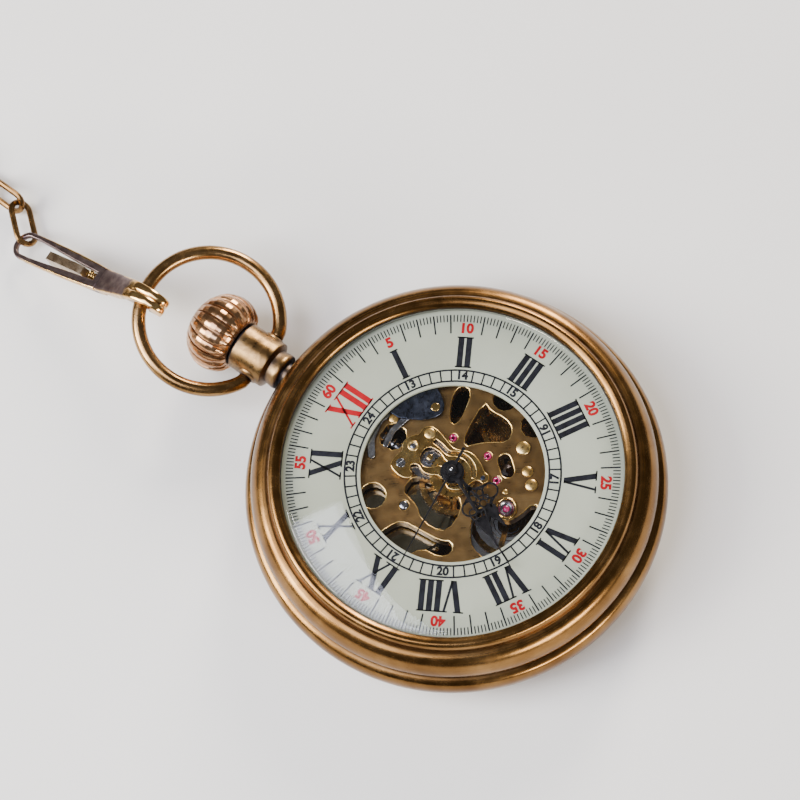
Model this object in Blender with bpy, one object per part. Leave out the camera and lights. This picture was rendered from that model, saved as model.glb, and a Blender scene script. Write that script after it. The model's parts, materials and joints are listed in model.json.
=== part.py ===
"""Open-face pocket watch with a skeleton movement, bow, snap clip and guard chain.

Every length below is in millimetres and MM turns it into metres as a mesh is made.
The origin is the middle of the case back's resting face, +Y points to 12 o'clock,
+X to 3 o'clock and +Z out of the dial.
"""
import math

import bmesh
import bpy
from mathutils import Matrix, Vector

MM = 0.001
TAU = 2 * math.pi

# Case
ROUND = 40                 # sides of the case's turned rings
CASE_RADIUS = 22.8         # outer bead of the case middle
DIAL_TOP = 9.8             # height of the dial's face above the table
DIAL_HOLE = 9.85           # radius of the window that shows the movement
STEM_HEIGHT = 5.2          # height of the winding stem, pendant and bow hinge
GAP = 0.05                 # room left between neighbouring pieces

# Bow, a ring of wire hinged in the pendant, and the crown inside it
BOW_HINGE_Y = 26.2
BOW_RING = 7.74            # radius of the ring's centreline
BOW_REACH = 7.0            # hinge axis to ring centre
BOW_WIRE = 0.785
BOW_PIN = 0.55
BOW_TILT = math.radians(10.5)
CROWN_RIBS = 20

# Movement: heights of its layers, from the back up to the dial
BRIDGE = (2.5, 3.1)
PLATE = (7.0, 8.6)
PLATE_RADIUS = 13.4
PIVOT_HOLE = 0.2
TOOTH_TIP = 0.55           # tooth height above the pitch circle, in modules
TOOTH_ROOT = 0.75

# Movement: arbor positions seen from the dial side
CENTRE = (0.0, 0.0)
THIRD = (3.5, 2.5)
ESCAPE = (3.9, -1.75)
PALLET = (2.2, -4.1)
BALANCE = (0.2, -6.75)
BARREL = (-5.6, 2.5)
MINUTE = (0.2, 3.15)
CROWN_WHEEL = (0.0, 8.1)
CLICK = (-9.82, -1.62)
BALANCE_RADIUS = 4.2
ESCAPE_RADIUS = 2.4

# Tooth counts
BARREL_TEETH, CENTRE_PINION = 72, 12
CENTRE_TEETH, THIRD_PINION = 80, 10
THIRD_TEETH, FOURTH_PINION = 75, 10
FOURTH_TEETH, ESCAPE_PINION = 80, 8
CANNON_TEETH, MINUTE_TEETH = 12, 36
MINUTE_PINION, HOUR_TEETH = 10, 40
RATCHET_TEETH, CROWN_WHEEL_TEETH = 57, 39
ESCAPE_TEETH = 15

# Hands, as angles clockwise from 12 o'clock
HOUR_ANGLE = 191.5
MINUTE_ANGLE = 204.6
SECONDS_ANGLE = 263.0

# Clip and chain
CLIP_GRIP = math.radians(17.0)     # where the clip sits round the bow
CLIP_END = (-3.5, 58.4, 1.5)      # middle of the clip's chain loop, near its end
LINK_WIRE = 0.35
LINK_WIDTH = 3.0
LINK_PLAY = 0.39                   # joint point to the middle of the end wire
CHAIN_HEIGHT = 1.6
CHAIN_RADIUS = 1.5                 # outer size of the run of chain, as a round cord
LINK_PLAN = (                      # start, end and roll of each separate link
    ((-2.8, 57.6), (0.1, 61.05), math.radians(38)),
    ((0.1, 61.05), (0.25, 64.95), math.radians(-54)),
)
CHAIN_RUN = ((0.25, 66.0), (0.28, 67.7), (0.36, 69.4), (0.5, 71.1))
CHAIN_TAIL = ((-14.9, 73.7), (-14.5, 76.5), (-14.4, 79.2), (-14.7, 81.9), (-14.9, 84.4))
COIL_CENTRE = (-14.9, 86.4)
COIL_INNER = 13.4
COIL_OUTER = 19.8
COIL_LAYER = 2.9
COIL_TOP = 5.4
BAR_HALF = 10.5                    # half the length of the bar on the chain's far end
BAR_ANGLE = math.radians(8)

METALS = {
    "aged_brass": ((0.30, 0.19, 0.09), 1.0, 0.32),
    "rose_bronze": ((0.42, 0.23, 0.14), 1.0, 0.25),
    "dark_bronze": ((0.16, 0.11, 0.09), 1.0, 0.35),
    "plate_bronze": ((0.32, 0.22, 0.11), 1.0, 0.40),
    "gold": ((0.75, 0.50, 0.18), 1.0, 0.20),
    "steel": ((0.45, 0.45, 0.48), 1.0, 0.25),
    "blued_steel": ((0.05, 0.06, 0.09), 1.0, 0.35),
    "black": ((0.01, 0.01, 0.012), 0.3, 0.40),
    "dial": ((0.72, 0.73, 0.68), 0.0, 0.45),
    "glass": ((0.85, 0.88, 0.90), 0.0, 0.05),
    "ruby": ((0.45, 0.02, 0.10), 0.0, 0.10),
    "grey_plastic": ((0.12, 0.12, 0.13), 0.0, 0.60),
}


def clear_scene():
    for item in list(bpy.data.objects):
        bpy.data.objects.remove(item, do_unlink=True)


def material(name):
    """Principled material of the named finish, made once."""
    found = bpy.data.materials.get(name)
    if found:
        return found
    colour, metallic, roughness = METALS[name]
    made = bpy.data.materials.new(name)
    made.use_nodes = True
    shader = made.node_tree.nodes["Principled BSDF"]
    shader.inputs["Base Color"].default_value = (*colour, 1.0)
    shader.inputs["Metallic"].default_value = metallic
    shader.inputs["Roughness"].default_value = roughness
    return made


def make_object(name, bm, finish, origin=(0, 0, 0), sharp_degrees=30):
    """Turn a bmesh in world millimetres into an object whose origin is given."""
    bmesh.ops.recalc_face_normals(bm, faces=bm.faces[:])
    bmesh.ops.translate(bm, verts=bm.verts[:], vec=-Vector(origin))
    bmesh.ops.scale(bm, verts=bm.verts[:], vec=(MM, MM, MM))
    mesh = bpy.data.meshes.new(name)
    bm.to_mesh(mesh)
    bm.free()
    mesh.shade_smooth()
    mesh.set_sharp_from_angle(angle=math.radians(sharp_degrees))
    mesh.materials.append(material(finish))
    made = bpy.data.objects.new(name, mesh)
    bpy.context.scene.collection.objects.link(made)
    made.location = Vector(origin) * MM
    return made


def cut_away(target, bm):
    """Subtract a closed bmesh in world millimetres from an object."""
    cutter = make_object(target.name + "_cutter", bm, "steel")
    cutter.hide_render = True
    cutter.display_type = "WIRE"
    cut = target.modifiers.new("cut", "BOOLEAN")
    cut.operation = "DIFFERENCE"
    cut.object = cutter


# Outlines, as lists of (x, y)

def circle(radius, sides=16, centre=(0, 0)):
    return [(centre[0] + radius * math.cos(TAU * i / sides),
             centre[1] + radius * math.sin(TAU * i / sides)) for i in range(sides)]


def arc(centre, radius, start, end, steps):
    """Points on an arc, with its angles in degrees."""
    angles = [math.radians(start + (end - start) * i / steps) for i in range(steps + 1)]
    return [(centre[0] + radius * math.cos(a), centre[1] + radius * math.sin(a)) for a in angles]


def heading(start, end):
    return math.atan2(end[1] - start[1], end[0] - start[0])


def distance(start, end):
    return math.hypot(end[0] - start[0], end[1] - start[1])


def beside(point, angle, along, across):
    """A point moved along a heading and to its left."""
    return (point[0] + along * math.cos(angle) - across * math.sin(angle),
            point[1] + along * math.sin(angle) + across * math.cos(angle))


def capsule(start, end, start_radius, end_radius, steps=6):
    """Round-ended bar between two points."""
    facing = math.degrees(heading(start, end))
    return (arc(end, end_radius, facing - 90, facing + 90, steps)
            + arc(start, start_radius, facing + 90, facing + 270, steps))


def band(points, half_width, steps=4):
    """Strip of even width along a bent line, with round ends."""
    sides = ([], [])
    for i, point in enumerate(points):
        before = points[max(i - 1, 0)]
        after = points[min(i + 1, len(points) - 1)]
        angle = heading(before, after)
        sides[0].append(beside(point, angle, 0, half_width))
        sides[1].append(beside(point, angle, 0, -half_width))
    first = math.degrees(heading(points[0], points[1]))
    last = math.degrees(heading(points[-2], points[-1]))
    head = arc(points[-1], half_width, last - 90, last + 90, steps)[1:-1]
    tail = arc(points[0], half_width, first + 90, first + 270, steps)[1:-1]
    return sides[1] + head + sides[0][::-1] + tail


def softened(points, rounds=1):
    """Cut every corner at a quarter of its sides, to round an outline."""
    for _ in range(rounds):
        smoother = []
        for i, (x, y) in enumerate(points):
            nx, ny = points[(i + 1) % len(points)]
            smoother.append((0.75 * x + 0.25 * nx, 0.75 * y + 0.25 * ny))
            smoother.append((0.25 * x + 0.75 * nx, 0.25 * y + 0.75 * ny))
        points = smoother
    return points


def pitch_radius(teeth, partner, centre, partner_centre):
    return distance(centre, partner_centre) * teeth / (teeth + partner)


def gear(teeth, radius, phase, centre=(0, 0)):
    """Pointed teeth that leave running room; phase is the heading of one tooth's tip."""
    module = 2 * radius / teeth
    points = []
    for i in range(teeth):
        tip = phase + TAU * i / teeth
        root = tip + math.pi / teeth
        points.append(beside(centre, tip, radius + TOOTH_TIP * module, 0))
        points.append(beside(centre, root, radius - TOOTH_ROOT * module, 0))
    return points


def meshing_pair(teeth, partner, centre, partner_centre):
    """Outlines of two gears in mesh: a tooth of the first fills a gap of the second."""
    facing = heading(centre, partner_centre)
    first = gear(teeth, pitch_radius(teeth, partner, centre, partner_centre), facing, centre)
    second = gear(partner, pitch_radius(partner, teeth, centre, partner_centre),
                  facing + math.pi + math.pi / partner, partner_centre)
    return first, second


def windows(inner, outer, count, spoke, centre=(0, 0), turn=0.0, steps=4):
    """Openings between a wheel's spokes, whose width is given."""
    openings = []
    for i in range(count):
        start = turn + 360 * i / count
        end = turn + 360 * (i + 1) / count
        trim_out = math.degrees(spoke / 2 / outer)
        trim_in = math.degrees(spoke / 2 / inner)
        openings.append(arc(centre, outer, start + trim_out, end - trim_out, steps)
                        + arc(centre, inner, end - trim_in, start + trim_in, 2))
    return openings


# Solids

def key_of(loop):
    return tuple((round(x, 5), round(y, 5)) for x, y in loop)


def stack(layers, transform=None):
    """Closed solid of layers (bottom, top, loops), one on another.

    Each loop is a closed outline, and a loop inside another is a hole. Between two
    layers only the area that one of them lacks gets a face.
    """
    bm = bmesh.new()
    rings = {}

    def ring(loop, height):
        place = (key_of(loop), round(height, 5))
        if place not in rings:
            verts = [bm.verts.new((x, y, height)) for x, y in loop]
            edges = [bm.edges.new((verts[i - 1], verts[i])) for i in range(len(verts))]
            rings[place] = (verts, edges)
        return rings[place]

    heights = sorted({layer[0] for layer in layers} | {layer[1] for layer in layers})
    for bottom, top, loops in layers:
        for loop in loops:
            low, high = ring(loop, bottom)[0], ring(loop, top)[0]
            for i in range(len(loop)):
                bm.faces.new((low[i - 1], low[i], high[i], high[i - 1]))
    for height in heights:
        meeting = {}
        for bottom, top, loops in layers:
            if height in (bottom, top):
                for loop in loops:
                    meeting.setdefault(key_of(loop), []).append(loop)
        edges = [edge for found in meeting.values() if len(found) == 1
                 for edge in ring(found[0], height)[1]]
        if edges:
            bmesh.ops.triangle_fill(bm, use_beauty=True, use_dissolve=False, edges=edges,
                                    normal=(0, 0, 1))
    if transform is not None:
        bmesh.ops.transform(bm, matrix=transform, verts=bm.verts[:])
    return bm


def turned(profile, sides=ROUND, transform=None, flute=None):
    """Solid turned about Z from a closed outline of (radius, height)."""
    bm = bmesh.new()
    columns = []
    poles = {i: bm.verts.new((0, 0, h)) for i, (r, h) in enumerate(profile) if r == 0}
    for side in range(sides):
        angle = TAU * side / sides
        column = []
        for i, (radius, height) in enumerate(profile):
            if i in poles:
                column.append(poles[i])
                continue
            if flute:
                radius += flute(i, angle)
            column.append(bm.verts.new((radius * math.cos(angle), radius * math.sin(angle), height)))
        columns.append(column)
    for side in range(sides):
        left, right = columns[side - 1], columns[side]
        for i in range(len(profile)):
            corners = (left[i - 1], left[i], right[i], right[i - 1])
            face = list(dict.fromkeys(corners))
            if len(face) > 2:
                bm.faces.new(face)
    if transform is not None:
        bmesh.ops.transform(bm, matrix=transform, verts=bm.verts[:])
    return bm


def rod(start, end, radius, sides=16):
    """Plain round bar between two points."""
    axis = Vector(end) - Vector(start)
    turn = Vector((0, 0, 1)).rotation_difference(axis).to_matrix().to_4x4()
    return turned([(0, 0), (radius, 0), (radius, axis.length), (0, axis.length)], sides,
                  Matrix.Translation(start) @ turn)


def wire(points, radii, sides=8, closed=False, up=Vector((0, 0, 1))):
    """Round wire swept along points, with flat ends unless it is closed."""
    bm = bmesh.new()
    points = [Vector(point) for point in points]
    count = len(points)
    if not hasattr(radii, "__len__"):
        radii = [radii] * count
    rings = []
    side = None
    for i, point in enumerate(points):
        before = points[i - 1] if closed or i else point
        after = points[(i + 1) % count] if closed or i < count - 1 else point
        along = (after - before).normalized()
        if side is None:
            side = along.cross(up).normalized()
        else:
            side = (side - along * side.dot(along)).normalized()
        lift = along.cross(side)
        rings.append([bm.verts.new(point + radii[i] * (side * math.cos(TAU * k / sides)
                                                       + lift * math.sin(TAU * k / sides)))
                      for k in range(sides)])
    for i in range(0 if closed else 1, count):
        for k in range(sides):
            bm.faces.new((rings[i - 1][k - 1], rings[i - 1][k], rings[i][k], rings[i][k - 1]))
    if not closed:
        bm.faces.new(rings[0])
        bm.faces.new(rings[-1])
    return bm


ALONG_Y = Matrix.Rotation(-math.pi / 2, 4, "X")        # local +Z becomes world +Y
STEM_LINE = Matrix.Translation((0, 0, STEM_HEIGHT)) @ ALONG_Y


def stem_piece(name, profile, finish, sides=24, flute=None):
    """Piece turned about the stem's line, from (radius, y) points."""
    return make_object(name, turned(profile, sides, STEM_LINE, flute), finish,
                       (0, 0, STEM_HEIGHT))


def flat_piece(name, layers, finish, origin=(0, 0)):
    return make_object(name, stack(layers), finish, (origin[0], origin[1], layers[0][0]))


# Case, glass and dial

def build_case():
    middle = make_object("case_middle", turned([
        (18.9, 9.35), (19.5, 9.35), (19.5, 6.75), (21.5, 6.75), (22.35, 6.4), (22.7, 5.75),
        (CASE_RADIUS, 5.0), (22.65, 4.2), (22.25, 3.5), (21.6, 3.0), (19.6, 3.0),
        (19.6, 2.0), (18.9, 2.0)]), "aged_brass")
    cut_away(middle, rod((0, 17, STEM_HEIGHT), (0, 25, STEM_HEIGHT), 1.35))
    make_object("bezel", turned([
        (18.3, 10.0), (18.3, 10.75), (18.6, 11.2), (19.2, 11.4), (19.7, 11.05), (19.95, 10.35),
        (20.5, 10.25), (21.2, 9.7), (21.7, 8.8), (21.85, 8.0), (21.75, 7.3), (21.4, 6.85),
        (19.6, 6.85), (19.6, 10.0)]), "aged_brass")
    make_object("case_back", turned([
        (15.0, 0.0), (16.8, 0.0), (18.8, 0.15), (20.4, 0.65), (21.5, 1.5), (21.9, 2.4),
        (21.9, 2.9), (19.7, 2.9), (19.7, 1.85), (14.0, 1.6), (14.0, 1.25), (15.0, 1.25)]),
        "aged_brass")
    make_object("back_glass", turned([
        (0, 0), (14.7, 0), (14.95, 0.25), (14.95, 1.2), (0, 1.2)]), "glass")
    make_object("crystal", turned([
        (0, 12.7), (6.0, 12.51), (12.0, 11.92), (16.5, 11.2), (18.0, 10.9), (18.25, 10.75),
        (18.25, 10.15), (17.9, 10.15), (16.3, 10.6), (12.0, 11.28), (6.0, 11.85), (0, 12.0)]),
        "glass")
    holder = make_object("movement_ring", turned([
        (13.5, 2.3), (18.8, 2.3), (18.8, 9.3), (13.5, 9.3)]), "grey_plastic")
    cut_away(holder, rod((0, 12, STEM_HEIGHT), (0, 20, STEM_HEIGHT), 0.8))
    make_object("dial", turned([
        (DIAL_HOLE, 9.4), (19.0, 9.4), (19.0, DIAL_TOP), (DIAL_HOLE, DIAL_TOP)]), "dial")


def hand_outline(angle, points):
    """Mirror an outline of (distance, half width) along a hand's heading."""
    facing = math.radians(90 - angle)
    left = [beside(CENTRE, facing, along, across) for along, across in points]
    right = [beside(CENTRE, facing, along, -across) for along, across in reversed(points)]
    return left + right


def build_hands():
    flat_piece("hour_hand", [(10.05, 10.2, [hand_outline(HOUR_ANGLE, [
        (-1.35, 0.45), (-0.7, 1.2), (0.7, 1.2), (1.3, 0.5), (2.6, 0.5), (3.4, 1.5), (3.9, 2.25),
        (4.7, 2.3), (5.3, 1.5), (5.9, 0.75), (7.0, 0.45), (8.4, 0.06)]), circle(0.93, 12)])],
        "black")
    flat_piece("minute_hand", [(10.4, 10.52, [hand_outline(MINUTE_ANGLE, [
        (-1.2, 0.35), (-0.7, 1.0), (0.7, 1.0), (1.2, 0.4), (4.6, 0.4), (5.4, 0.95), (6.4, 1.05),
        (7.4, 0.6), (8.6, 0.3), (9.2, 0.12), (12.4, 0.06)]), circle(0.63, 12)])], "black")
    needle = hand_outline(SECONDS_ANGLE, [
        (-2.8, 0.15), (-0.75, 0.15), (-0.45, 0.6), (0.45, 0.6), (0.75, 0.12), (12.3, 0.05)])
    flat_piece("seconds_hand", [(10.72, 10.84, [needle, circle(0.19, 10)]),
                                (10.84, 11.15, [circle(0.5, 10), circle(0.19, 10)])], "black")


# Pendant, crown and bow

def build_pendant():
    pendant = stem_piece("pendant", [
        (0.75, 19.0), (1.3, 19.0), (1.3, 22.95), (2.1, 22.95), (2.1, 24.4), (2.7, 24.75),
        (2.7, 28.6), (2.55, 28.85), (0.75, 28.85)], "aged_brass")
    holes = bmesh.new()
    for side in (-1, 1):
        hole = rod((side * 1.35, BOW_HINGE_Y, STEM_HEIGHT), (side * 3.2, BOW_HINGE_Y, STEM_HEIGHT),
                   BOW_PIN + 0.1, 12)
        part = bpy.data.meshes.new("hole")
        hole.to_mesh(part)
        hole.free()
        holes.from_mesh(part)
        bpy.data.meshes.remove(part)
    cut_away(pendant, holes)

    def flute(index, angle):
        return 0.2 * math.cos(CROWN_RIBS * angle) if 2 < index < 9 else 0.0

    stem_piece("crown", [
        (0.65, 32.8), (0.65, 29.0), (2.9, 29.0), (3.6, 29.4), (4.15, 30.2), (4.33, 31.2),
        (4.2, 32.3), (3.75, 33.4), (2.85, 34.3), (1.5, 34.9), (0, 35.1), (0, 32.8)],
        "rose_bronze", 3 * CROWN_RIBS, flute)
    stem_piece("winding_stem", [(0, 6.2), (0.5, 6.2), (0.5, 32.6), (0, 32.6)], "steel", 12)


def bow_point(x, along):
    """Point in the bow's tilted plane, at a distance along it from the hinge."""
    return Vector((x, BOW_HINGE_Y + along * math.cos(BOW_TILT),
                   STEM_HEIGHT + along * math.sin(BOW_TILT)))


def build_bow():
    half = [(1.45, 0, BOW_PIN), (2.8, 0, BOW_PIN), (2.85, 0, BOW_WIRE), (3.1, 0.04, BOW_WIRE),
            (3.45, 0.1, BOW_WIRE)]
    start, end = -60, 240
    ring = [(BOW_RING * math.cos(math.radians(a)), BOW_REACH + BOW_RING * math.sin(math.radians(a)),
             BOW_WIRE) for a in range(start, end + 1, 10)]
    route = half + ring + [(-x, along, radius) for x, along, radius in reversed(half)]
    points = [bow_point(x, along) for x, along, _ in route]
    normal = Vector((0, -math.sin(BOW_TILT), math.cos(BOW_TILT)))
    make_object("bow", wire(points, [radius for _, _, radius in route], 8, up=normal),
                "aged_brass", (0, BOW_HINGE_Y, STEM_HEIGHT))


# Movement

def plate_openings():
    """Cut-outs that make the main plate a skeleton."""
    return [
        circle(1.4, 14, (-6.6, 5.9)),
        softened([(-5.0, 1.0), (-4.6, 2.0), (-4.3, 3.6), (-2.2, 3.6), (-1.6, 0.9), (-1.4, -1.7),
                  (-2.6, -2.9), (-5.3, -3.0), (-5.9, -1.4), (-5.6, 0.4)]),
        softened([(-10.2, 3.0), (-8.3, 2.5), (-7.1, 1.6), (-6.9, -0.7), (-6.7, -2.9),
                  (-6.0, -4.1), (-7.1, -4.8), (-8.1, -3.9), (-8.3, -1.8), (-10.4, -0.8)]),
        softened([(-5.6, -8.2), (-5.3, -6.2), (-4.2, -5.2), (-2.8, -4.4), (-1.2, -4.2),
                  (-1.0, -5.6), (-1.1, -7.6), (0.3, -8.4), (2.4, -8.8), (2.0, -10.2),
                  (-1.0, -10.8), (-4.4, -9.9)]),
        softened([(4.7, 3.6), (5.7, 4.5), (7.6, 5.4), (8.9, 5.2), (8.9, 3.9), (6.4, 3.2),
                  (5.1, 3.1)]),
        softened([(3.4, 0.9), (4.6, 1.7), (8.7, 2.1), (8.2, 0.9), (8.4, -0.9), (7.9, -2.2),
                  (6.4, -2.6), (5.3, -0.9), (4.4, 0.1)]),
        circle(1.3, 12, (10.2, 0.4)),
        softened([(7.9, -3.4), (9.6, -2.2), (10.6, -3.6), (9.4, -5.4), (8.5, -4.9)]),
        capsule((4.5, -3.5), (3.7, -4.5), 0.7, 0.7),
        softened([(-1.3, 6.6), (1.3, 6.6), (1.4, 9.2), (-1.4, 9.2)]),
    ]


def build_frame():
    """Main plate and the bridges that hold the movement's arbors."""
    jewelled = [circle(0.45, 10, place) for place in (THIRD, ESCAPE, PALLET)]
    others = [circle(0.95, 14, BALANCE), circle(0.52, 12, CENTRE), circle(0.52, 10, BARREL),
              circle(0.25, 8, MINUTE), circle(0.34, 10, (-3.0, 8.6))]
    flat_piece("main_plate", [(*PLATE, [circle(PLATE_RADIUS, ROUND)] + plate_openings()
                               + jewelled + others)], "plate_bronze")
    for name, place in (("third_jewel", THIRD), ("escape_jewel", ESCAPE),
                        ("pallet_jewel", PALLET)):
        flat_piece(name, [(7.5, 8.65, [circle(0.4, 10, place), circle(0.16, 8, place)])],
                   "ruby", place)
    flat_piece("balance_jewel", [(7.7, 8.75, [circle(0.9, 14, BALANCE)])], "ruby", BALANCE)

    barrel_side = (arc(CENTRE, 12.9, 78, 216, 16)
                   + [(-6.2, -4.2), (-2.2, -2.2), (-1.5, 2.4), (2.1, 5.0), (3.0, 8.5)])
    posts = [circle(0.9, 10, place) for place in ((-9.7, -5.2), (-8.9, 7.9), (1.95, 11.7))]
    flat_piece("barrel_bridge", [
        (*BRIDGE, [barrel_side, circle(0.7, 12, BARREL), circle(1.85, 16, CROWN_WHEEL)]),
        (BRIDGE[1], PLATE[0] - GAP, posts)], "plate_bronze")
    train_side = (arc(CENTRE, 12.9, -36, 68, 12)
                  + [(3.6, 8.2), (2.7, 4.6), (-0.8, 1.9), (-0.9, -2.2), (2.5, -4.0), (6.5, -6.0)])
    pivots = [circle(PIVOT_HOLE, 8, place) for place in (CENTRE, THIRD, ESCAPE)]
    posts = [circle(0.85, 10, place) for place in ((10.6, 3.6), (9.8, -5.6), (5.6, 10.2))]
    flat_piece("train_bridge", [(*BRIDGE, [train_side] + pivots),
                                (BRIDGE[1], PLATE[0] - GAP, posts)], "plate_bronze")
    foot = (5.6, -9.9)
    flat_piece("balance_cock", [
        (*BRIDGE, [capsule(BALANCE, foot, 1.3, 1.6), circle(PIVOT_HOLE, 8, BALANCE)]),
        (BRIDGE[1], PLATE[0] - GAP, [circle(1.1, 12, foot)])], "plate_bronze")
    ends = ((-1.3, -4.7), (4.9, -5.7))
    flat_piece("pallet_bridge", [
        (4.95, 5.2, [band([ends[0], PALLET, ends[1]], 0.6), circle(PIVOT_HOLE, 8, PALLET)]),
        (5.2, PLATE[0] - GAP, [circle(0.4, 8, place) for place in ends])], "plate_bronze")


def build_barrel():
    teeth = meshing_pair(BARREL_TEETH, CENTRE_PINION, BARREL, CENTRE)[0]
    outside = circle(4.9, 24, BARREL)
    inside = circle(4.6, 24, BARREL)
    bore = circle(1.0, 12, BARREL)
    flat_piece("barrel", [
        (3.7, 4.0, [outside, bore]), (4.0, 5.5, [outside, inside]),
        (5.5, 5.9, [teeth, inside]), (5.9, 6.15, [outside, inside]),
        (6.15, 6.45, [outside, bore])], "gold", BARREL)
    tapped = circle(0.26, 8, BARREL)
    flat_piece("barrel_arbor", [
        (2.05, 2.45, [circle(0.4, 12, BARREL), tapped]),
        (2.45, 2.7, [circle(0.6, 12, BARREL), tapped]),
        (2.7, 3.5, [circle(0.6, 12, BARREL)]), (3.5, 4.2, [circle(0.9, 12, BARREL)]),
        (4.2, 5.95, [circle(1.4, 14, BARREL)]), (5.95, 6.6, [circle(0.9, 12, BARREL)]),
        (6.6, 8.55, [circle(0.46, 12, BARREL)])], "steel", BARREL)
    turns, steps = 4, 14
    spiral = [beside(BARREL, TAU * i / steps, 1.75 + 2.55 * i / (turns * steps), 0)
              for i in range(turns * steps + 1)]
    inner = [beside(BARREL, TAU * i / steps, 1.6 + 2.55 * i / (turns * steps), 0)
             for i in range(turns * steps + 1)]
    flat_piece("mainspring", [(4.3, 5.9, [spiral + inner[::-1]])], "steel", BARREL)
    ratchet, crown_wheel = meshing_pair(RATCHET_TEETH, CROWN_WHEEL_TEETH, BARREL, CROWN_WHEEL)
    flat_piece("ratchet_wheel", [(2.1, 2.4, [ratchet, circle(0.44, 12, BARREL)])], "steel", BARREL)
    flat_piece("ratchet_screw", [
        (1.7, 2.0, [circle(1.0, 16, BARREL)]), (2.0, 2.6, [circle(0.2, 8, BARREL)])],
        "steel", BARREL)
    flat_piece("crown_wheel", [
        (2.1, 2.4, [crown_wheel]), (2.4, 3.55, [circle(1.7, 16, CROWN_WHEEL)])],
        "steel", CROWN_WHEEL)
    nose = beside(BARREL, math.radians(238), 4.92, 0)
    flat_piece("click", [(2.1, 2.4, [capsule(CLICK, nose, 0.5, 0.06)])], "steel", CLICK)


def build_train():
    """The wheels that carry the drive from the barrel to the escapement."""
    bore = circle(0.24, 10)
    pinion = meshing_pair(BARREL_TEETH, CENTRE_PINION, BARREL, CENTRE)[1]
    wheel, third_pinion = meshing_pair(CENTRE_TEETH, THIRD_PINION, CENTRE, THIRD)
    flat_piece("centre_wheel", [
        (4.9, 5.2, [circle(0.42, 12), bore]), (5.2, 6.3, [pinion, bore]),
        (6.3, 6.62, [circle(0.6, 12), bore]),
        (6.62, 6.85, [wheel, bore] + windows(1.1, 3.2, 5, 0.4)),
        (6.85, 9.95, [circle(0.42, 12), bore])], "gold")
    wheel, fourth_pinion = meshing_pair(THIRD_TEETH, FOURTH_PINION, THIRD, CENTRE)
    arbor = circle(0.2, 8, THIRD)
    pivot = circle(0.12, 8, THIRD)
    flat_piece("third_wheel", [
        (2.7, 3.2, [pivot]), (3.2, 4.0, [arbor]),
        (4.0, 4.2, [wheel] + windows(0.9, 3.2, 5, 0.35, THIRD)), (4.2, 6.4, [arbor]),
        (6.4, 6.92, [third_pinion]), (6.92, 8.0, [pivot])], "gold", THIRD)
    wheel, escape_pinion = meshing_pair(FOURTH_TEETH, ESCAPE_PINION, CENTRE, ESCAPE)
    flat_piece("fourth_wheel", [
        (2.7, 3.2, [circle(0.12, 8)]), (3.2, 3.3, [circle(0.3, 8)]),
        (3.3, 3.5, [wheel] + windows(0.9, 3.3, 5, 0.35)), (3.5, 3.7, [circle(0.35, 8)]),
        (3.7, 4.6, [fourth_pinion]), (4.6, 11.0, [circle(0.16, 8)])], "gold")
    hooks = []
    facing = heading(ESCAPE, PALLET)
    for i in range(ESCAPE_TEETH):
        tip = facing + TAU * (i + 0.5) / ESCAPE_TEETH
        hooks += [beside(ESCAPE, tip, ESCAPE_RADIUS, 0),
                  beside(ESCAPE, tip + 0.09, 2.33, 0), beside(ESCAPE, tip + 0.12, 1.95, 0),
                  beside(ESCAPE, tip + 0.3, 1.95, 0)]
    arbor = circle(0.16, 8, ESCAPE)
    pivot = circle(0.1, 8, ESCAPE)
    flat_piece("escape_wheel", [
        (2.7, 3.15, [pivot]), (3.15, 3.85, [escape_pinion]), (3.85, 5.75, [arbor]),
        (5.75, 5.95, [hooks] + windows(0.6, 1.6, 4, 0.3, ESCAPE)), (5.95, 6.9, [arbor]),
        (6.9, 8.0, [pivot])], "steel", ESCAPE)


def build_escapement():
    """Pallet fork, balance and hairspring."""
    to_escape = heading(PALLET, ESCAPE)
    to_balance = heading(PALLET, BALANCE)

    def lever(along, across, facing=to_escape):
        return beside(PALLET, facing, along, across)

    def fork(along, across):
        return beside(PALLET, to_balance, along, across)

    outline = [lever(0.6, 1.55), lever(0.75, 1.3), lever(0.3, 0.4), lever(0.3, -0.4),
               lever(0.75, -1.3), lever(0.6, -1.55), lever(-0.2, -0.35),
               fork(2.3, 0.12), fork(2.5, 0.55), fork(2.85, 0.6), fork(2.85, 0.42),
               fork(2.55, 0.4), fork(2.55, -0.4), fork(2.85, -0.42), fork(2.85, -0.6),
               fork(2.5, -0.55), fork(2.3, -0.12), lever(-0.2, 0.35)]
    pivot = circle(0.1, 8, PALLET)
    flat_piece("pallet_fork", [(5.0, 5.7, [pivot]), (5.7, 5.95, [outline]),
                               (5.95, 8.0, [pivot])], "steel", PALLET)
    staff = circle(0.15, 10, BALANCE)
    impulse_pin = circle(0.08, 6, beside(BALANCE, heading(BALANCE, PALLET), 0.5, 0))
    flat_piece("balance_wheel", [
        (2.7, 3.3, [circle(0.1, 8, BALANCE)]), (3.3, 4.2, [staff]),
        (4.2, 4.75, [circle(BALANCE_RADIUS, 32, BALANCE)]
         + windows(0.6, 3.6, 2, 0.6, BALANCE, 20, 10)),
        (4.75, 5.4, [staff]), (5.4, 5.55, [circle(0.62, 14, BALANCE)]),
        (5.55, 5.95, [staff, impulse_pin]), (5.95, 7.5, [staff])], "gold", BALANCE)
    turns, steps = 4, 14
    outer = [beside(BALANCE, TAU * i / steps, 0.6 + 1.8 * i / (turns * steps), 0)
             for i in range(turns * steps + 1)]
    inner = [beside(BALANCE, TAU * i / steps, 0.53 + 1.8 * i / (turns * steps), 0)
             for i in range(turns * steps + 1)]
    flat_piece("hairspring", [(3.7, 3.9, [outer + inner[::-1]])], "steel", BALANCE)


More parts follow.
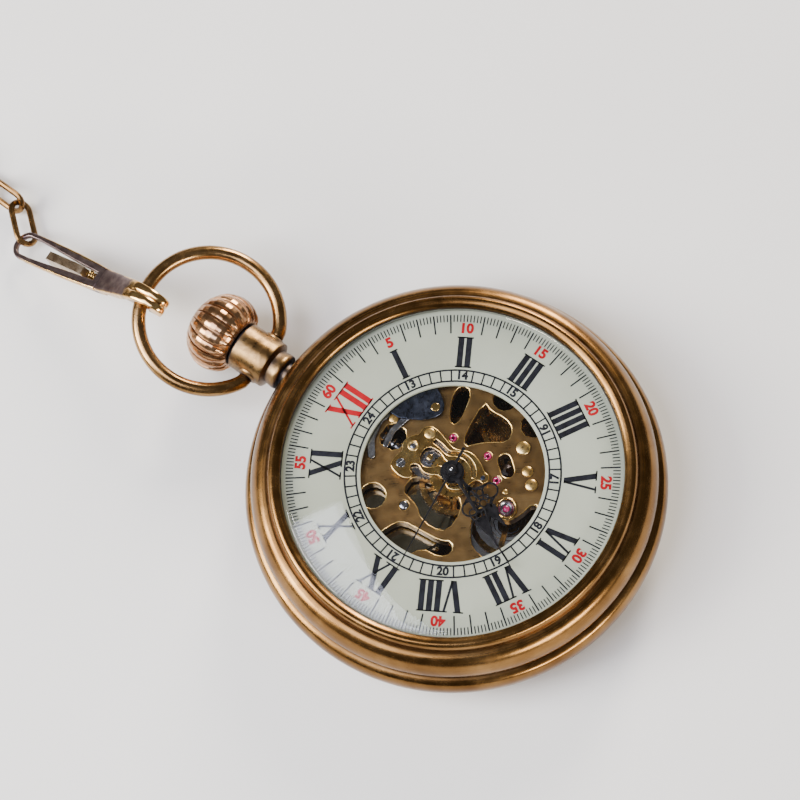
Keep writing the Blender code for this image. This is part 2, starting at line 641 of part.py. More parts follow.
def build_motion_work():
    """Gears under the dial that drive the hands, and the bridge over them."""
    cannon, minute = meshing_pair(CANNON_TEETH, MINUTE_TEETH, CENTRE, MINUTE)
    pinion, hour = meshing_pair(MINUTE_PINION, HOUR_TEETH, MINUTE, CENTRE)
    bore = circle(0.46, 12)
    flat_piece("cannon_pinion", [(8.65, 8.9, [cannon, bore]),
                                 (8.9, 10.6, [circle(0.6, 12), bore])], "steel")
    flat_piece("minute_wheel", [
        (7.5, 8.65, [circle(0.2, 8, MINUTE)]), (8.65, 8.85, [minute]), (8.85, 9.2, [pinion])],
        "gold", MINUTE)
    bore = circle(0.66, 14)
    flat_piece("hour_wheel", [(9.0, 9.15, [hour, bore]),
                              (9.15, 10.3, [circle(0.9, 14), bore])], "gold")
    lobes = softened([
        (-2.9, 6.5), (-0.9, 6.4), (0.3, 6.7), (1.6, 6.2), (2.6, 5.2), (3.0, 3.4), (2.9, 0.6),
        (2.7, -1.0), (2.1, -2.6), (1.4, -3.7), (0.6, -3.0), (1.3, -1.9), (1.7, -0.2),
        (1.3, 1.3), (0.5, 1.9), (-0.9, 1.7), (-1.4, 0.4), (-1.8, -1.6), (-2.3, -0.8),
        (-2.0, 1.6), (-2.4, 3.4), (-3.7, 4.4), (-3.9, 5.6)])
    seats = ((-2.6, 5.5), (1.9, 5.3), (1.45, -3.0))
    flat_piece("minute_wheel_bridge", [
        (9.25, 9.5, [lobes, circle(0.9, 14, MINUTE)])], "gold")
    for number, place in enumerate(seats, 1):
        flat_piece("bridge_post_%d" % number, [
            (8.6 + 0.02, 9.23, [circle(0.4, 10, place)])], "steel", place)


def build_keyless_work():
    """Parts that let the crown wind the barrel or set the hands."""
    stem_piece("winding_pinion", [(0.55, 9.1), (1.3, 9.1), (1.55, 9.6), (1.55, 10.2),
                                  (0.55, 10.2)], "steel", 16)
    stem_piece("sliding_pinion", [(0.55, 7.0), (1.15, 7.0), (1.15, 7.4), (0.8, 7.5), (0.8, 7.9),
                                  (1.15, 8.0), (1.15, 8.25), (0.55, 8.25)], "steel", 16)
    lever = band([(-3.0, 8.6), (-1.6, 9.7), (0.6, 10.2), (1.6, 9.9)], 0.42)
    flat_piece("setting_lever", [(7.2, 8.7, [circle(0.28, 8, (-3.0, 8.6))]),
                                 (8.7, 8.95, [lever])], "steel", (-3.0, 8.6))
    flat_piece("yoke", [(8.7, 8.95, [band([(3.6, 7.4), (2.2, 8.0), (0.4, 8.3), (-1.2, 8.0)],
                                          0.34)])], "steel", (3.6, 7.4))
    cover = softened([(1.7, 9.1), (2.6, 7.2), (3.3, 6.0), (4.6, 5.0), (5.6, 5.0), (6.5, 6.0),
                      (7.2, 7.4), (6.4, 9.6), (2.4, 10.6)])
    flat_piece("keyless_cover", [(9.0, 9.25, [cover, circle(0.26, 8, (5.1, 5.9))])],
               "blued_steel")
    flat_piece("cover_screw", [(8.65, 9.27, [circle(0.2, 8, (5.1, 5.9))]),
                               (9.27, 9.37, [circle(0.5, 12, (5.1, 5.9))])], "gold", (5.1, 5.9))


# Clip and chain

def clip_frame():
    """Clip's own axes: X along its length from the bow, Y across, Z off its back."""
    grip = bow_point(-BOW_RING * math.sin(CLIP_GRIP),
                     BOW_REACH + BOW_RING * math.cos(CLIP_GRIP))
    along = (Vector(CLIP_END) - grip).normalized()
    across = Vector((0, 0, 1)).cross(along).normalized()
    lift = along.cross(across)
    turn = Matrix((along, across, lift)).transposed().to_4x4()
    return Matrix.Translation(grip) @ turn, grip, (Vector(CLIP_END) - grip).length


def drawn_out(points, factor):
    """Stretch the part of an outline that lies beyond the origin."""
    return [(x * factor if x < 0 else x, y) for x, y in points]


def build_clip():
    frame, grip, length = clip_frame()
    on_side = frame @ Matrix.Rotation(math.pi / 2, 4, "X")     # layers run across the clip
    hook = (drawn_out(arc((0, 0), 1.9, 215, 30, 10), 1.75)
            + [(4.0, 1.25), (6.25, 1.15), (6.25, -0.2), (3.4, -0.15), (1.6, 0.35)]
            + drawn_out(arc((0, 0), 1.15, 40, 205, 8), 1.35))
    make_object("clip_hook", stack([(-1.15, 1.15, [hook])], on_side), "dark_bronze", grip)
    end = length - 1.5
    outside = [(6.3, -1.35)] + arc((end, 0), 1.75, -80, 80, 8) + [(6.3, 1.35)]
    inside = [(7.0, -0.55)] + arc((end, 0), 1.2, -80, 80, 6) + [(7.0, 0.55)]
    make_object("clip_loop", stack([(-0.3, 0.3, [outside, inside])], frame), "dark_bronze", grip)
    lever = [(-2.0, -1.75), (1.6, -1.75), (3.2, -1.5), (8.8, -1.5), (14.2, -1.2), (14.3, 0.45),
             (9.1, 0.5), (8.3, -0.62), (3.4, -0.62), (1.2, -0.9), (0.9, -1.35), (-1.9, -1.35)]
    pivot = (8.8, -1.06)
    hinge = frame @ Vector((pivot[0], 0, pivot[1]))
    make_object("clip_lever", stack([(-0.4, 0.4, [lever, circle(0.26, 8, pivot)])], on_side),
                "dark_bronze", hinge)
    ends = [frame @ Vector((pivot[0], side, pivot[1])) for side in (-1.0, 1.0)]
    make_object("clip_pin", rod(*ends, 0.2, 10), "dark_bronze", hinge)


def stadium(length, width, radius, steps=5):
    """Centreline of an oval link in its own plane, long side along X."""
    bend = width / 2 - radius
    straight = length / 2 - radius - bend
    return [(x, y, 0) for x, y in arc((straight, 0), bend, -90, 90, steps)
            + arc((-straight, 0), bend, 90, 270, steps)]


def chain_stretch(name, route):
    """Loose stretch of chain, as a round cord of its outer size."""
    curve = bpy.data.curves.new(name, "CURVE")
    curve.dimensions = "3D"
    curve.bevel_depth = CHAIN_RADIUS * MM
    curve.bevel_resolution = 2
    curve.use_fill_caps = True
    spline = curve.splines.new("POLY")
    spline.points.add(len(route) - 1)
    for point, (x, y) in zip(spline.points, route):
        point.co = (x * MM, y * MM, CHAIN_HEIGHT * MM, 1)
    curve.materials.append(material("aged_brass"))
    made = bpy.data.objects.new(name, curve)
    bpy.context.scene.collection.objects.link(made)


def build_chain():
    for number, (start, end, roll) in enumerate(LINK_PLAN, 1):
        angle = heading(start, end)
        middle = ((start[0] + end[0]) / 2, (start[1] + end[1]) / 2)
        place = (Matrix.Translation((*middle, CHAIN_HEIGHT)) @ Matrix.Rotation(angle, 4, "Z")
                 @ Matrix.Rotation(roll, 4, "X"))
        loop = stadium(distance(start, end) + 2 * (LINK_PLAY + LINK_WIRE), LINK_WIDTH, LINK_WIRE)
        bm = wire(loop, LINK_WIRE, 6, closed=True)
        bmesh.ops.transform(bm, matrix=place, verts=bm.verts[:])
        make_object("chain_link_%d" % number, bm, "aged_brass", (*start, CHAIN_HEIGHT))
    make_object("chain_coil", turned([
        (COIL_INNER, 0.05), (COIL_OUTER, 0.05), (COIL_OUTER, COIL_LAYER), (18.4, COIL_TOP),
        (14.8, COIL_TOP), (COIL_INNER, COIL_LAYER)], 32,
        Matrix.Translation((*COIL_CENTRE, 0))), "aged_brass", (*COIL_CENTRE, 0))
    chain_stretch("chain_run", CHAIN_RUN)
    chain_stretch("chain_tail", CHAIN_TAIL)
    bar = [(0, -BAR_HALF), (1.0, -10.2), (1.5, -9.4), (1.2, -8.6), (0.8, -8.2), (1.0, -2.0),
           (1.5, -1.3)]
    profile = bar + [(radius, -along) for radius, along in reversed(bar)]
    lying = (Matrix.Translation((*COIL_CENTRE, CHAIN_HEIGHT)) @ Matrix.Rotation(BAR_ANGLE, 4, "Z")
             @ Matrix.Rotation(math.pi / 2, 4, "Y"))
    make_object("chain_bar", turned(profile, 14, lying), "aged_brass", (*COIL_CENTRE, CHAIN_HEIGHT))


def main():
    clear_scene()
    build_case()
    build_hands()
    build_pendant()
    build_bow()
    build_frame()
    build_barrel()
    build_train()
    build_escapement()
    build_motion_work()
    build_keyless_work()
    build_clip()
    build_chain()


main()
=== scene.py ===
"""Looks of an open-face pocket watch with a skeleton movement, snap clip and guard chain.

Lengths are in millimetres, and MM turns them into metres as each mesh is made. The row
frame's origin is under the middle of the case, +Y is 12 o'clock and +Z out of the dial.
"""
import json
import math

import bmesh
import bpy
from mathutils import Matrix, Vector

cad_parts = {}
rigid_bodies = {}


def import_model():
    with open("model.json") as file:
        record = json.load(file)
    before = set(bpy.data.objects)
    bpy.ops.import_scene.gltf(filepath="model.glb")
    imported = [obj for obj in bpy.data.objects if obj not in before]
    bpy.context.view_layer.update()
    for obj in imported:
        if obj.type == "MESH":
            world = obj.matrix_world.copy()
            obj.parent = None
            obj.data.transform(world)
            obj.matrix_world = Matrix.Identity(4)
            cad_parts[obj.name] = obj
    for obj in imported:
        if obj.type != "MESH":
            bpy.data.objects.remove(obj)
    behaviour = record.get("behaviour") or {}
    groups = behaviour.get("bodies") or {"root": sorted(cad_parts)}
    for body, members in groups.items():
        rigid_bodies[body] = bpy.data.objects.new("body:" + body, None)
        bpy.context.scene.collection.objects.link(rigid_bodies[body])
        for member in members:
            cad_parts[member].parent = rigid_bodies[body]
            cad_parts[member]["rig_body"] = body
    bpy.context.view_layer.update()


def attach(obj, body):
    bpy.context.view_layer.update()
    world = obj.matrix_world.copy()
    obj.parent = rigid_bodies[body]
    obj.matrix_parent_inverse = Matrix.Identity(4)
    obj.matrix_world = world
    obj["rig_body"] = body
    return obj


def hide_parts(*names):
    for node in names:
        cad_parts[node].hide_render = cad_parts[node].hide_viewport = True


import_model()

MM = 0.001
TAU = 2 * math.pi
UP = Vector((0, 0, 1))
SHARP = 35                             # degrees from which an edge counts as sharp
STEM_HEIGHT = 5.2
DIAL_TOP = 9.8
PLATE_TOP = 8.6
BRIDGE_TOP = 9.5


# Outlines and lines, as lists of points

def circle(radius, sides, centre=(0, 0)):
    return [(centre[0] + radius * math.cos(TAU * i / sides),
             centre[1] + radius * math.sin(TAU * i / sides)) for i in range(sides)]


def arc(centre, radius, start, end, steps):
    """Points on an arc, with its angles in degrees."""
    angles = [math.radians(start + (end - start) * i / steps) for i in range(steps + 1)]
    return [(centre[0] + radius * math.cos(a), centre[1] + radius * math.sin(a)) for a in angles]


def beside(point, angle, across):
    """Point a sideways step away from a line that runs at an angle."""
    return (point[0] - across * math.sin(angle), point[1] + across * math.cos(angle))


def curved(points, steps=5, closed=False):
    """Catmull-Rom line through points of any dimension."""
    points = [Vector(p) for p in points]
    count = len(points)
    line = []
    for i in range(count if closed else count - 1):
        a, b, c, d = [points[(i + k) % count] if closed else points[min(max(i + k, 0), count - 1)]
                      for k in (-1, 0, 1, 2)]
        for j in range(steps):
            t = j / steps
            line.append(0.5 * (2 * b + (c - a) * t + (2 * a - 5 * b + 4 * c - d) * t * t
                               + (3 * b - a - 3 * c + d) * t ** 3))
    if not closed:
        line.append(points[-1])
    return [tuple(p) for p in line]


def band(points, widths, steps=4):
    """Round-ended strip along a bent line, with half widths that may change."""
    if not hasattr(widths, "__len__"):
        widths = [widths] * len(points)
    left, right = [], []
    for i, point in enumerate(points):
        before, after = points[max(i - 1, 0)], points[min(i + 1, len(points) - 1)]
        angle = math.atan2(after[1] - before[1], after[0] - before[0])
        left.append(beside(point, angle, widths[i]))
        right.append(beside(point, angle, -widths[i]))
        if i == 0:
            first = math.degrees(angle)
    last = math.degrees(angle)
    head = arc(points[-1], widths[-1], last - 90, last + 90, steps)[1:-1]
    tail = arc(points[0], widths[0], first + 90, first + 270, steps)[1:-1]
    return right + head + left[::-1] + tail


# Solids, as bmeshes in millimetres

def prism(bm, outline, low, high):
    """Upright closed solid on an outline."""
    lower = [bm.verts.new((x, y, low)) for x, y in outline]
    upper = [bm.verts.new((x, y, high)) for x, y in outline]
    for i in range(len(lower)):
        bm.faces.new((lower[i - 1], lower[i], upper[i], upper[i - 1]))
    bm.faces.new(upper)
    bm.faces.new(lower[::-1])
    return bm


def pierced(bm, inner, outer, low, high):
    """Flat solid between two outlines that have equally many points."""
    loops = [[bm.verts.new((x, y, z)) for x, y in outline]
             for outline, z in ((inner, low), (outer, low), (outer, high), (inner, high))]
    for k in range(4):
        for i in range(len(inner)):
            a, b = loops[k], loops[(k + 1) % 4]
            bm.faces.new((a[i - 1], a[i], b[i], b[i - 1]))
    return bm


def hoop(bm, inner, outer, low, high, centre=(0, 0), sides=48):
    """Flat ring with square edges."""
    return pierced(bm, circle(inner, sides, centre), circle(outer, sides, centre), low, high)


def lathe(profile, sides, transform=None, flute=None, bm=None):
    """Solid turned about Z from a closed outline of (radius, height).

    A flute gives how far each point moves out, from its radius, height and angle.
    """
    bm = bm or bmesh.new()
    made = []
    columns = []
    poles = {i: bm.verts.new((0, 0, h)) for i, (r, h) in enumerate(profile) if r == 0}
    made += poles.values()
    for side in range(sides):
        angle = TAU * side / sides
        column = []
        for i, (radius, height) in enumerate(profile):
            if i not in poles:
                if flute:
                    radius += flute(radius, height, angle)
                made.append(bm.verts.new((radius * math.cos(angle), radius * math.sin(angle),
                                          height)))
            column.append(poles[i] if i in poles else made[-1])
        columns.append(column)
    for side in range(sides):
        left, right = columns[side - 1], columns[side]
        for i in range(len(profile)):
            face = list(dict.fromkeys((left[i - 1], left[i], right[i], right[i - 1])))
            if len(face) > 2:
                bm.faces.new(face)
    if transform is not None:
        bmesh.ops.transform(bm, matrix=transform, verts=made)
    return bm


def wire(points, radii, sides, closed=False, up=UP, bm=None):
    """Round wire swept along points, with flat ends unless it is closed."""
    bm = bm or bmesh.new()
    points = [Vector(point) for point in points]
    count = len(points)
    if not hasattr(radii, "__len__"):
        radii = [radii] * count
    rings = []
    side = None
    for i, point in enumerate(points):
        before = points[i - 1] if closed or i else point
        after = points[(i + 1) % count] if closed or i < count - 1 else point
        along = (after - before).normalized()
        side = along.cross(up).normalized() if side is None else (
            side - along * side.dot(along)).normalized()
        lift = along.cross(side)
        rings.append([bm.verts.new(point + radii[i] * (side * math.cos(TAU * k / sides)
                                                       + lift * math.sin(TAU * k / sides)))
                      for k in range(sides)])
    for i in range(0 if closed else 1, count):
        for k in range(sides):
            bm.faces.new((rings[i - 1][k - 1], rings[i - 1][k], rings[i][k], rings[i][k - 1]))
    if not closed:
        bm.faces.new(rings[0])
        bm.faces.new(rings[-1])
    return bm


def linked(name, data):
    """New object of some data, put in the scene."""
    made = bpy.data.objects.new(name, data)
    bpy.context.scene.collection.objects.link(made)
    return made


def mesh_of(name, bm):
    """Mesh in metres from a bmesh in millimetres, which it uses up."""
    bmesh.ops.scale(bm, verts=bm.verts[:], vec=(MM, MM, MM))
    mesh = bpy.data.meshes.new(name)
    bm.to_mesh(mesh)
    bm.free()
    return mesh


def bevel(obj, width, segments=2, polish=None):
    """Round an object's sharp edges, which may be polished, and keep its flat faces flat."""
    edge = obj.modifiers.new("bevel", "BEVEL")
    if polish:
        obj.data.materials.append(polish)
        edge.material = 1
        edge.use_clamp_overlap = False
    edge.width = width * MM
    edge.segments = segments
    edge.limit_method = "ANGLE"
    edge.angle_limit = math.radians(SHARP)
    even = obj.modifiers.new("normals", "WEIGHTED_NORMAL")
    even.keep_sharp = True
    return obj


def make(name, bm, material, body, replaces=(), edge=0.0, sharp=SHARP):
    """Turn a bmesh in millimetres into a piece that rides on a body."""
    bmesh.ops.recalc_face_normals(bm, faces=bm.faces[:])
    mesh = mesh_of(name, bm)
    mesh.shade_smooth()
    mesh.set_sharp_from_angle(angle=math.radians(sharp))
    mesh.materials.append(material)
    made = linked(name, mesh)
    if edge:
        bevel(made, edge)
    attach(made, body)
    if replaces:
        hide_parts(*replaces)
    return made


def refined(node, material, edge, segments=2, polish=None):
    """Copy of a CAD node's shape with rounded edges, which stands for it."""
    source = bpy.data.objects[node]
    bm = bmesh.new()
    bm.from_mesh(source.data)
    bmesh.ops.scale(bm, verts=bm.verts[:], vec=(1 / MM,) * 3)
    bmesh.ops.remove_doubles(bm, verts=bm.verts[:], dist=0.001)
    bmesh.ops.dissolve_limit(bm, angle_limit=math.radians(1), verts=bm.verts[:],
                             edges=bm.edges[:])
    made = make(node + "_detail", bm, material, source["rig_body"], (node,))
    return bevel(made, edge, segments, polish)


def placed(bm, start, transform):
    """Move the vertices added to a bmesh since it had start of them."""
    bm.verts.ensure_lookup_table()
    bmesh.ops.transform(bm, matrix=transform, verts=bm.verts[start:])


# Materials

class Shader:
    """One material's nodes; scales are in 1/mm."""

    def __init__(self, name):
        self.material = bpy.data.materials.new(name)
        self.material.use_nodes = True
        self.tree = self.material.node_tree
        self.tree.nodes.clear()

    def add(self, kind, inputs=None, output=0, **settings):
        node = self.tree.nodes.new("ShaderNode" + kind)
        for key, value in settings.items():
            setattr(node, key, value)
        for key, value in (inputs or {}).items():
            if isinstance(value, bpy.types.NodeSocket):
                self.tree.links.new(value, node.inputs[key])
            else:
                node.inputs[key].default_value = value
        return node.outputs[output]

    def where(self, scale=(1, 1, 1), turn=0.0):
        """Object coordinates in millimetres, turned about Z and then stretched."""
        spot = self.add("TexCoord", output="Object")
        if turn:
            spot = self.add("Mapping", {"Vector": spot, "Rotation": (0, 0, turn)})
        return self.add("Mapping", {"Vector": spot, "Scale": [1000 * s for s in scale]})

    def noise(self, scale, detail, vector=None, rough=0.55, twist=0.0):
        return self.add("TexNoise", {"Vector": vector or self.where(), "Scale": scale,
                                     "Detail": detail, "Roughness": rough, "Distortion": twist})

    def ramp(self, value, *stops):
        socket = self.add("ValToRGB", {"Fac": value})
        elements = socket.node.color_ramp.elements
        while len(elements) < len(stops):
            elements.new(1.0)
        for element, (position, colour) in zip(elements, stops):
            element.position = position
            colour = colour if hasattr(colour, "__len__") else (colour,) * 3
            element.color = (*colour, 1.0)
        return socket

    def spread(self, value, low, high, start=0.3, end=0.7):
        """Map a value between two others."""
        return self.add("MapRange", {0: value, 1: start, 2: end, 3: low, 4: high})

    def mix(self, factor, first, second):
        inputs = {0: factor}
        for key, colour in ((6, first), (7, second)):
            plain = not isinstance(colour, bpy.types.NodeSocket)
            inputs[key] = (*colour, 1.0) if plain else colour
        return self.add("Mix", inputs, 2, data_type="RGBA")

    def sums(self, operation, first, second):
        return self.add("Math", {0: first, 1: second}, operation=operation)

    def crevice(self, reach):
        """0 in the open and 1 deep in a groove."""
        # Ambient occlusion, used to paint shade into grooves and crevices
        open_air = self.add("AmbientOcclusion", {"Distance": reach * MM}, "AO", samples=6)
        return self.sums("SUBTRACT", 1.0, open_air)

    def bump(self, height, depth, normal=None):
        inputs = {"Height": height, "Strength": 0.3, "Distance": depth * MM}
        if normal:
            inputs["Normal"] = normal
        return self.add("Bump", inputs)

    def done(self, inputs):
        return self.close(self.add("BsdfPrincipled", inputs))

    def close(self, surface):
        self.tree.links.new(surface, self.tree.nodes.new("ShaderNodeOutputMaterial").inputs[0])
        return self.material


def metal(name, dark, mid, light, rough, blotch, painted_shade=None, lines=None, wear=0.006):
    """Metal with a drifting tone and an uneven surface.

    Painted shade gives the colour of the shade painted into grooves where ambient occlusion
    finds them, its reach out of a groove in mm and its strength. Lines are tool marks: the
    angle they run at, or "turned", and their scales across and along.
    """
    s = Shader(name)
    tone = s.noise(blotch, 3.0, rough=0.6, twist=0.4)
    colour = s.ramp(tone, (0.30, dark), (0.5, mid), (0.72, light))
    speck = s.noise(blotch * 4, 3.0)
    roughness = s.spread(speck, *rough)
    if lines:
        turned, across, along = lines
        if turned == "turned":
            spot = s.add("TexCoord", output="Object")
            split = s.add("SeparateXYZ", {0: spot}).node
            reach = s.sums("SQRT", s.sums("ADD", s.sums("POWER", split.outputs[0], 2.0),
                                          s.sums("POWER", split.outputs[1], 2.0)), 0.0)
            thread = s.add("CombineXYZ", {0: reach, 1: split.outputs[2]})
            stripes = s.add("TexNoise", {"Vector": thread, "Scale": 1000 * across,
                                         "Detail": 3.0})
        else:
            stripes = s.noise(1.0, 3.0, s.where((across, along, across), turned))
        shine = s.sums("MULTIPLY", s.spread(stripes, -1.0, 1.0), 0.04)
        roughness = s.sums("ADD", roughness, shine)
        colour = s.mix(s.spread(stripes, 0.0, 0.3, 0.45, 0.7), colour, dark)
        normal = s.bump(stripes, 0.006)
    else:
        normal = None
    if painted_shade:
        # Painted shade: the colour darkens towards the shade tint where ambient occlusion finds
        # grooves and crevices
        tint, reach, strength = painted_shade
        shade_amount = s.sums("MULTIPLY", s.crevice(reach), s.spread(tone, strength * 0.7, strength))
        colour = s.mix(s.add("Clamp", {0: shade_amount}), colour, tint)
        roughness = s.sums("ADD", roughness, s.sums("MULTIPLY", shade_amount, 0.25))
    normal = s.bump(s.noise(1.6, 4.0), wear, normal)
    return s.done({"Base Color": colour, "Metallic": 1.0, "Roughness": roughness,
                   "Normal": normal})


def paint(name, colour, second, scale, rough, bump, coat=0.0, gloss=0.5):
    """Enamel, lacquer, plastic or print with slight mottling."""
    s = Shader(name)
    tone = s.noise(scale, 4.0)
    normal = s.bump(s.noise(scale * 6, 3.0), bump)
    return s.done({"Base Color": s.ramp(tone, (0.35, colour), (0.65, second)),
                   "Roughness": s.spread(tone, rough, rough + 0.12), "Normal": normal,
                   "Coat Weight": coat, "Coat Roughness": 0.12, "Specular IOR Level": gloss})


def glass(name, tint, haze):
    """Clear thin glass: see-through, with a mirror's sheen where it is seen at a slant."""
    s = Shader(name)
    wipe = s.noise(0.25, 5.0, s.where((1, 0.3, 1), 0.6))
    clear = s.add("BsdfTransparent", {"Color": (*tint, 1.0)})
    sheen = s.add("BsdfGlossy", {"Color": (1, 1, 1, 1), "Roughness": s.spread(wipe, 0.02, haze)})
    slant = s.sums("POWER", s.add("LayerWeight", {"Blend": 0.5}, "Facing"), 5.0)
    share = s.sums("ADD", s.sums("MULTIPLY", slant, 0.8), 0.025)
    return s.close(s.add("MixShader", {0: share, 1: clear, 2: sheen}))


def ruby():
    s = Shader("ruby")
    tone = s.noise(3.0, 3.0)
    colour = s.ramp(tone, (0.3, (0.32, 0.01, 0.07)), (0.7, (0.75, 0.03, 0.22)))
    return s.done({"Base Color": colour, "Roughness": s.spread(tone, 0.04, 0.12), "IOR": 1.77,
                   "Transmission Weight": 0.25, "Coat Weight": 1.0})


# Painted shade: the metals below darken towards a shade colour in grooves and crevices, where
# ambient occlusion finds them; this is the usual shade colour
CREVICE_SHADE = (0.022, 0.013, 0.009)
CASE_BRASS = metal("case_brass", (0.12, 0.056, 0.016), (0.20, 0.102, 0.032),
                   (0.30, 0.168, 0.062), (0.20, 0.30), 0.14, (CREVICE_SHADE, 0.7, 1.6),
                   ("turned", 5.0, 1.0))
WIRE_BRASS = metal("wire_brass", (0.16, 0.085, 0.030), (0.26, 0.145, 0.054), (0.38, 0.23, 0.10),
                   (0.20, 0.30), 0.22, (CREVICE_SHADE, 0.5, 1.2))
PENDANT_BRASS = metal("pendant_brass", (0.08, 0.048, 0.022), (0.19, 0.11, 0.042),
                      (0.33, 0.205, 0.085), (0.24, 0.38), 0.45, ((0.045, 0.05, 0.065), 1.2, 2.2))
ROSE = metal("rose_bronze_shine", (0.30, 0.145, 0.06), (0.46, 0.25, 0.125), (0.62, 0.39, 0.23),
             (0.20, 0.26), 0.35, ((0.08, 0.03, 0.01), 0.3, 1.5), wear=0.001)
KNURLED = metal("lever_nickel_worn", (0.26, 0.17, 0.10), (0.42, 0.31, 0.20), (0.60, 0.48, 0.34),
                (0.26, 0.36), 0.9, (CREVICE_SHADE, 0.12, 0.9))
BARREL = metal("barrel_polished", (0.20, 0.17, 0.10), (0.36, 0.33, 0.24), (0.58, 0.55, 0.44),
               (0.08, 0.16), 0.3, (CREVICE_SHADE, 0.4, 1.4))
PLATE = metal("plate_bronze_brushed", (0.20, 0.110, 0.038), (0.29, 0.170, 0.062),
              (0.38, 0.235, 0.092), (0.28, 0.38), 0.2, (CREVICE_SHADE, 0.5, 1.2),
              (math.radians(-38), 14.0, 0.12))
BRIDGE = metal("bridge_striped", (0.16, 0.08, 0.022), (0.27, 0.15, 0.05), (0.42, 0.26, 0.095),
               (0.2, 0.30), 0.25, (CREVICE_SHADE, 0.8, 1.6), (math.radians(20), 7.0, 0.25))
GILT = metal("gilt", (0.50, 0.28, 0.07), (0.74, 0.46, 0.14), (0.92, 0.66, 0.26),
             (0.10, 0.22), 0.6, ((0.07, 0.03, 0.01), 0.4, 1.6))
GILT_SATIN = metal("gilt_satin", (0.55, 0.31, 0.09), (0.80, 0.51, 0.17), (0.98, 0.74, 0.34),
                   (0.24, 0.34), 0.6, ((0.07, 0.03, 0.01), 0.3, 1.2))
WHEEL = metal("wheel_amber", (0.22, 0.12, 0.035), (0.42, 0.25, 0.08), (0.62, 0.41, 0.16),
              (0.16, 0.30), 0.6, (CREVICE_SHADE, 0.5, 1.8))
STEEL = metal("steel_polished", (0.22, 0.22, 0.25), (0.42, 0.42, 0.46), (0.70, 0.70, 0.74),
              (0.12, 0.26), 0.8, ((0.02, 0.02, 0.025), 0.35, 1.8))
BLUED = metal("blued_steel_satin", (0.024, 0.028, 0.040), (0.045, 0.052, 0.076),
              (0.085, 0.095, 0.13), (0.24, 0.40), 0.6, None, (math.radians(60), 8.0, 0.5))
LACQUER = paint("hand_lacquer", (0.004, 0.004, 0.005), (0.012, 0.011, 0.013), 2.0, 0.25,
                0.002, 0.0, 0.12)
DIAL = paint("dial_enamel", (0.345, 0.365, 0.285), (0.375, 0.395, 0.31), 0.18, 0.38, 0.002, 0.15)
INK = paint("ink_black", (0.004, 0.004, 0.007), (0.010, 0.011, 0.017), 1.5, 0.5, 0.001, 0, 0.12)
RED_INK = paint("ink_red", (0.30, 0.002, 0.007), (0.37, 0.004, 0.012), 1.5, 0.5, 0.001, 0, 0.12)
PLASTIC = paint("movement_holder", (0.05, 0.05, 0.055), (0.09, 0.09, 0.095), 0.8, 0.5, 0.01)
CRYSTAL = glass("crystal_glass", (0.985, 0.99, 0.99), 0.06)
RUBY = ruby()


# Camera and chain come first

def make_camera():
    data = bpy.data.cameras.new("camera")
    data.lens = 157.5
    camera = linked("camera", data)
    right = Vector((0.580995, -0.808960, -0.089599))
    up = Vector((0.785624, 0.528629, 0.321476))
    place = Matrix((right, up, right.cross(up))).transposed().to_4x4()
    camera.matrix_world = Matrix.Translation(Vector((-76.26, -87.04, 363.34)) * MM) @ place
    bpy.context.scene.camera = camera


LINK_WIRE = 0.35
LINK_WIDTH = 3.0
LINK_PLAY = 0.39
LINK_PITCH = 3.95
CHAIN_HEIGHT = 1.6
COIL_CENTRE = (-14.9, 86.4)
LINK_PLAN = (((-2.8, 57.6), (0.1, 61.05)), ((0.1, 61.05), (0.25, 64.95)))
LINK_ROLLS = (math.radians(38), math.radians(-54))
CHAIN_RUN = ((0.25, 64.95), (0.25, 66.0), (0.28, 67.7), (0.36, 69.4), (0.5, 71.1))
CHAIN_TAIL = ((-14.5, 76.5), (-14.4, 79.2), (-14.7, 81.9), (-14.9, 84.4))
COIL_STEPS = (                         # angle in degrees, radius and height along the coil
    (-20, 18.2, 1.6), (288, 18.2, 1.6), (310, 17.4, 2.75), (332, 16.6, 3.85),
    (622, 16.6, 3.85), (642, 15.8, 2.75), (662, 15.0, 1.6), (972, 15.0, 1.6))


def coil_point(angle):
    """Place on the coil at an angle, between the steps around it."""
    for (a, r0, z0), (b, r1, z1) in zip(COIL_STEPS, COIL_STEPS[1:]):
        if angle <= b:
            t = (angle - a) / (b - a)
            radius, height = r0 + (r1 - r0) * t, z0 + (z1 - z0) * t
            break
    turn = math.radians(angle)
    return (COIL_CENTRE[0] + radius * math.cos(turn), COIL_CENTRE[1] + radius * math.sin(turn),
            height)


def chain_route():
    """The chain's line from its last separate link to its bar."""
    run = [(x, y, CHAIN_HEIGHT) for x, y in CHAIN_RUN]
    lead = [(0.95, 74.2, CHAIN_HEIGHT)]
    coil = [coil_point(angle) for angle in range(-20, 973, 11)]
    tail = [(x, y, CHAIN_HEIGHT) for x, y in CHAIN_TAIL]
    return curved(run + lead + coil + [(-14.75, 73.4, CHAIN_HEIGHT)] + tail, 6)


def spaced(points, count):
    """Points at even distances along a line, and the line's length."""
    points = [Vector(p) for p in points]
    reach = [0.0]
    for a, b in zip(points, points[1:]):
        reach.append(reach[-1] + (b - a).length)
    found = []
    i = 0
    for k in range(count + 1):
        goal = reach[-1] * k / count
        while i < len(points) - 2 and reach[i + 1] < goal:
            i += 1
        share = (goal - reach[i]) / max(reach[i + 1] - reach[i], 1e-9)
        found.append(points[i].lerp(points[i + 1], min(share, 1.0)))
    return found, reach[-1]


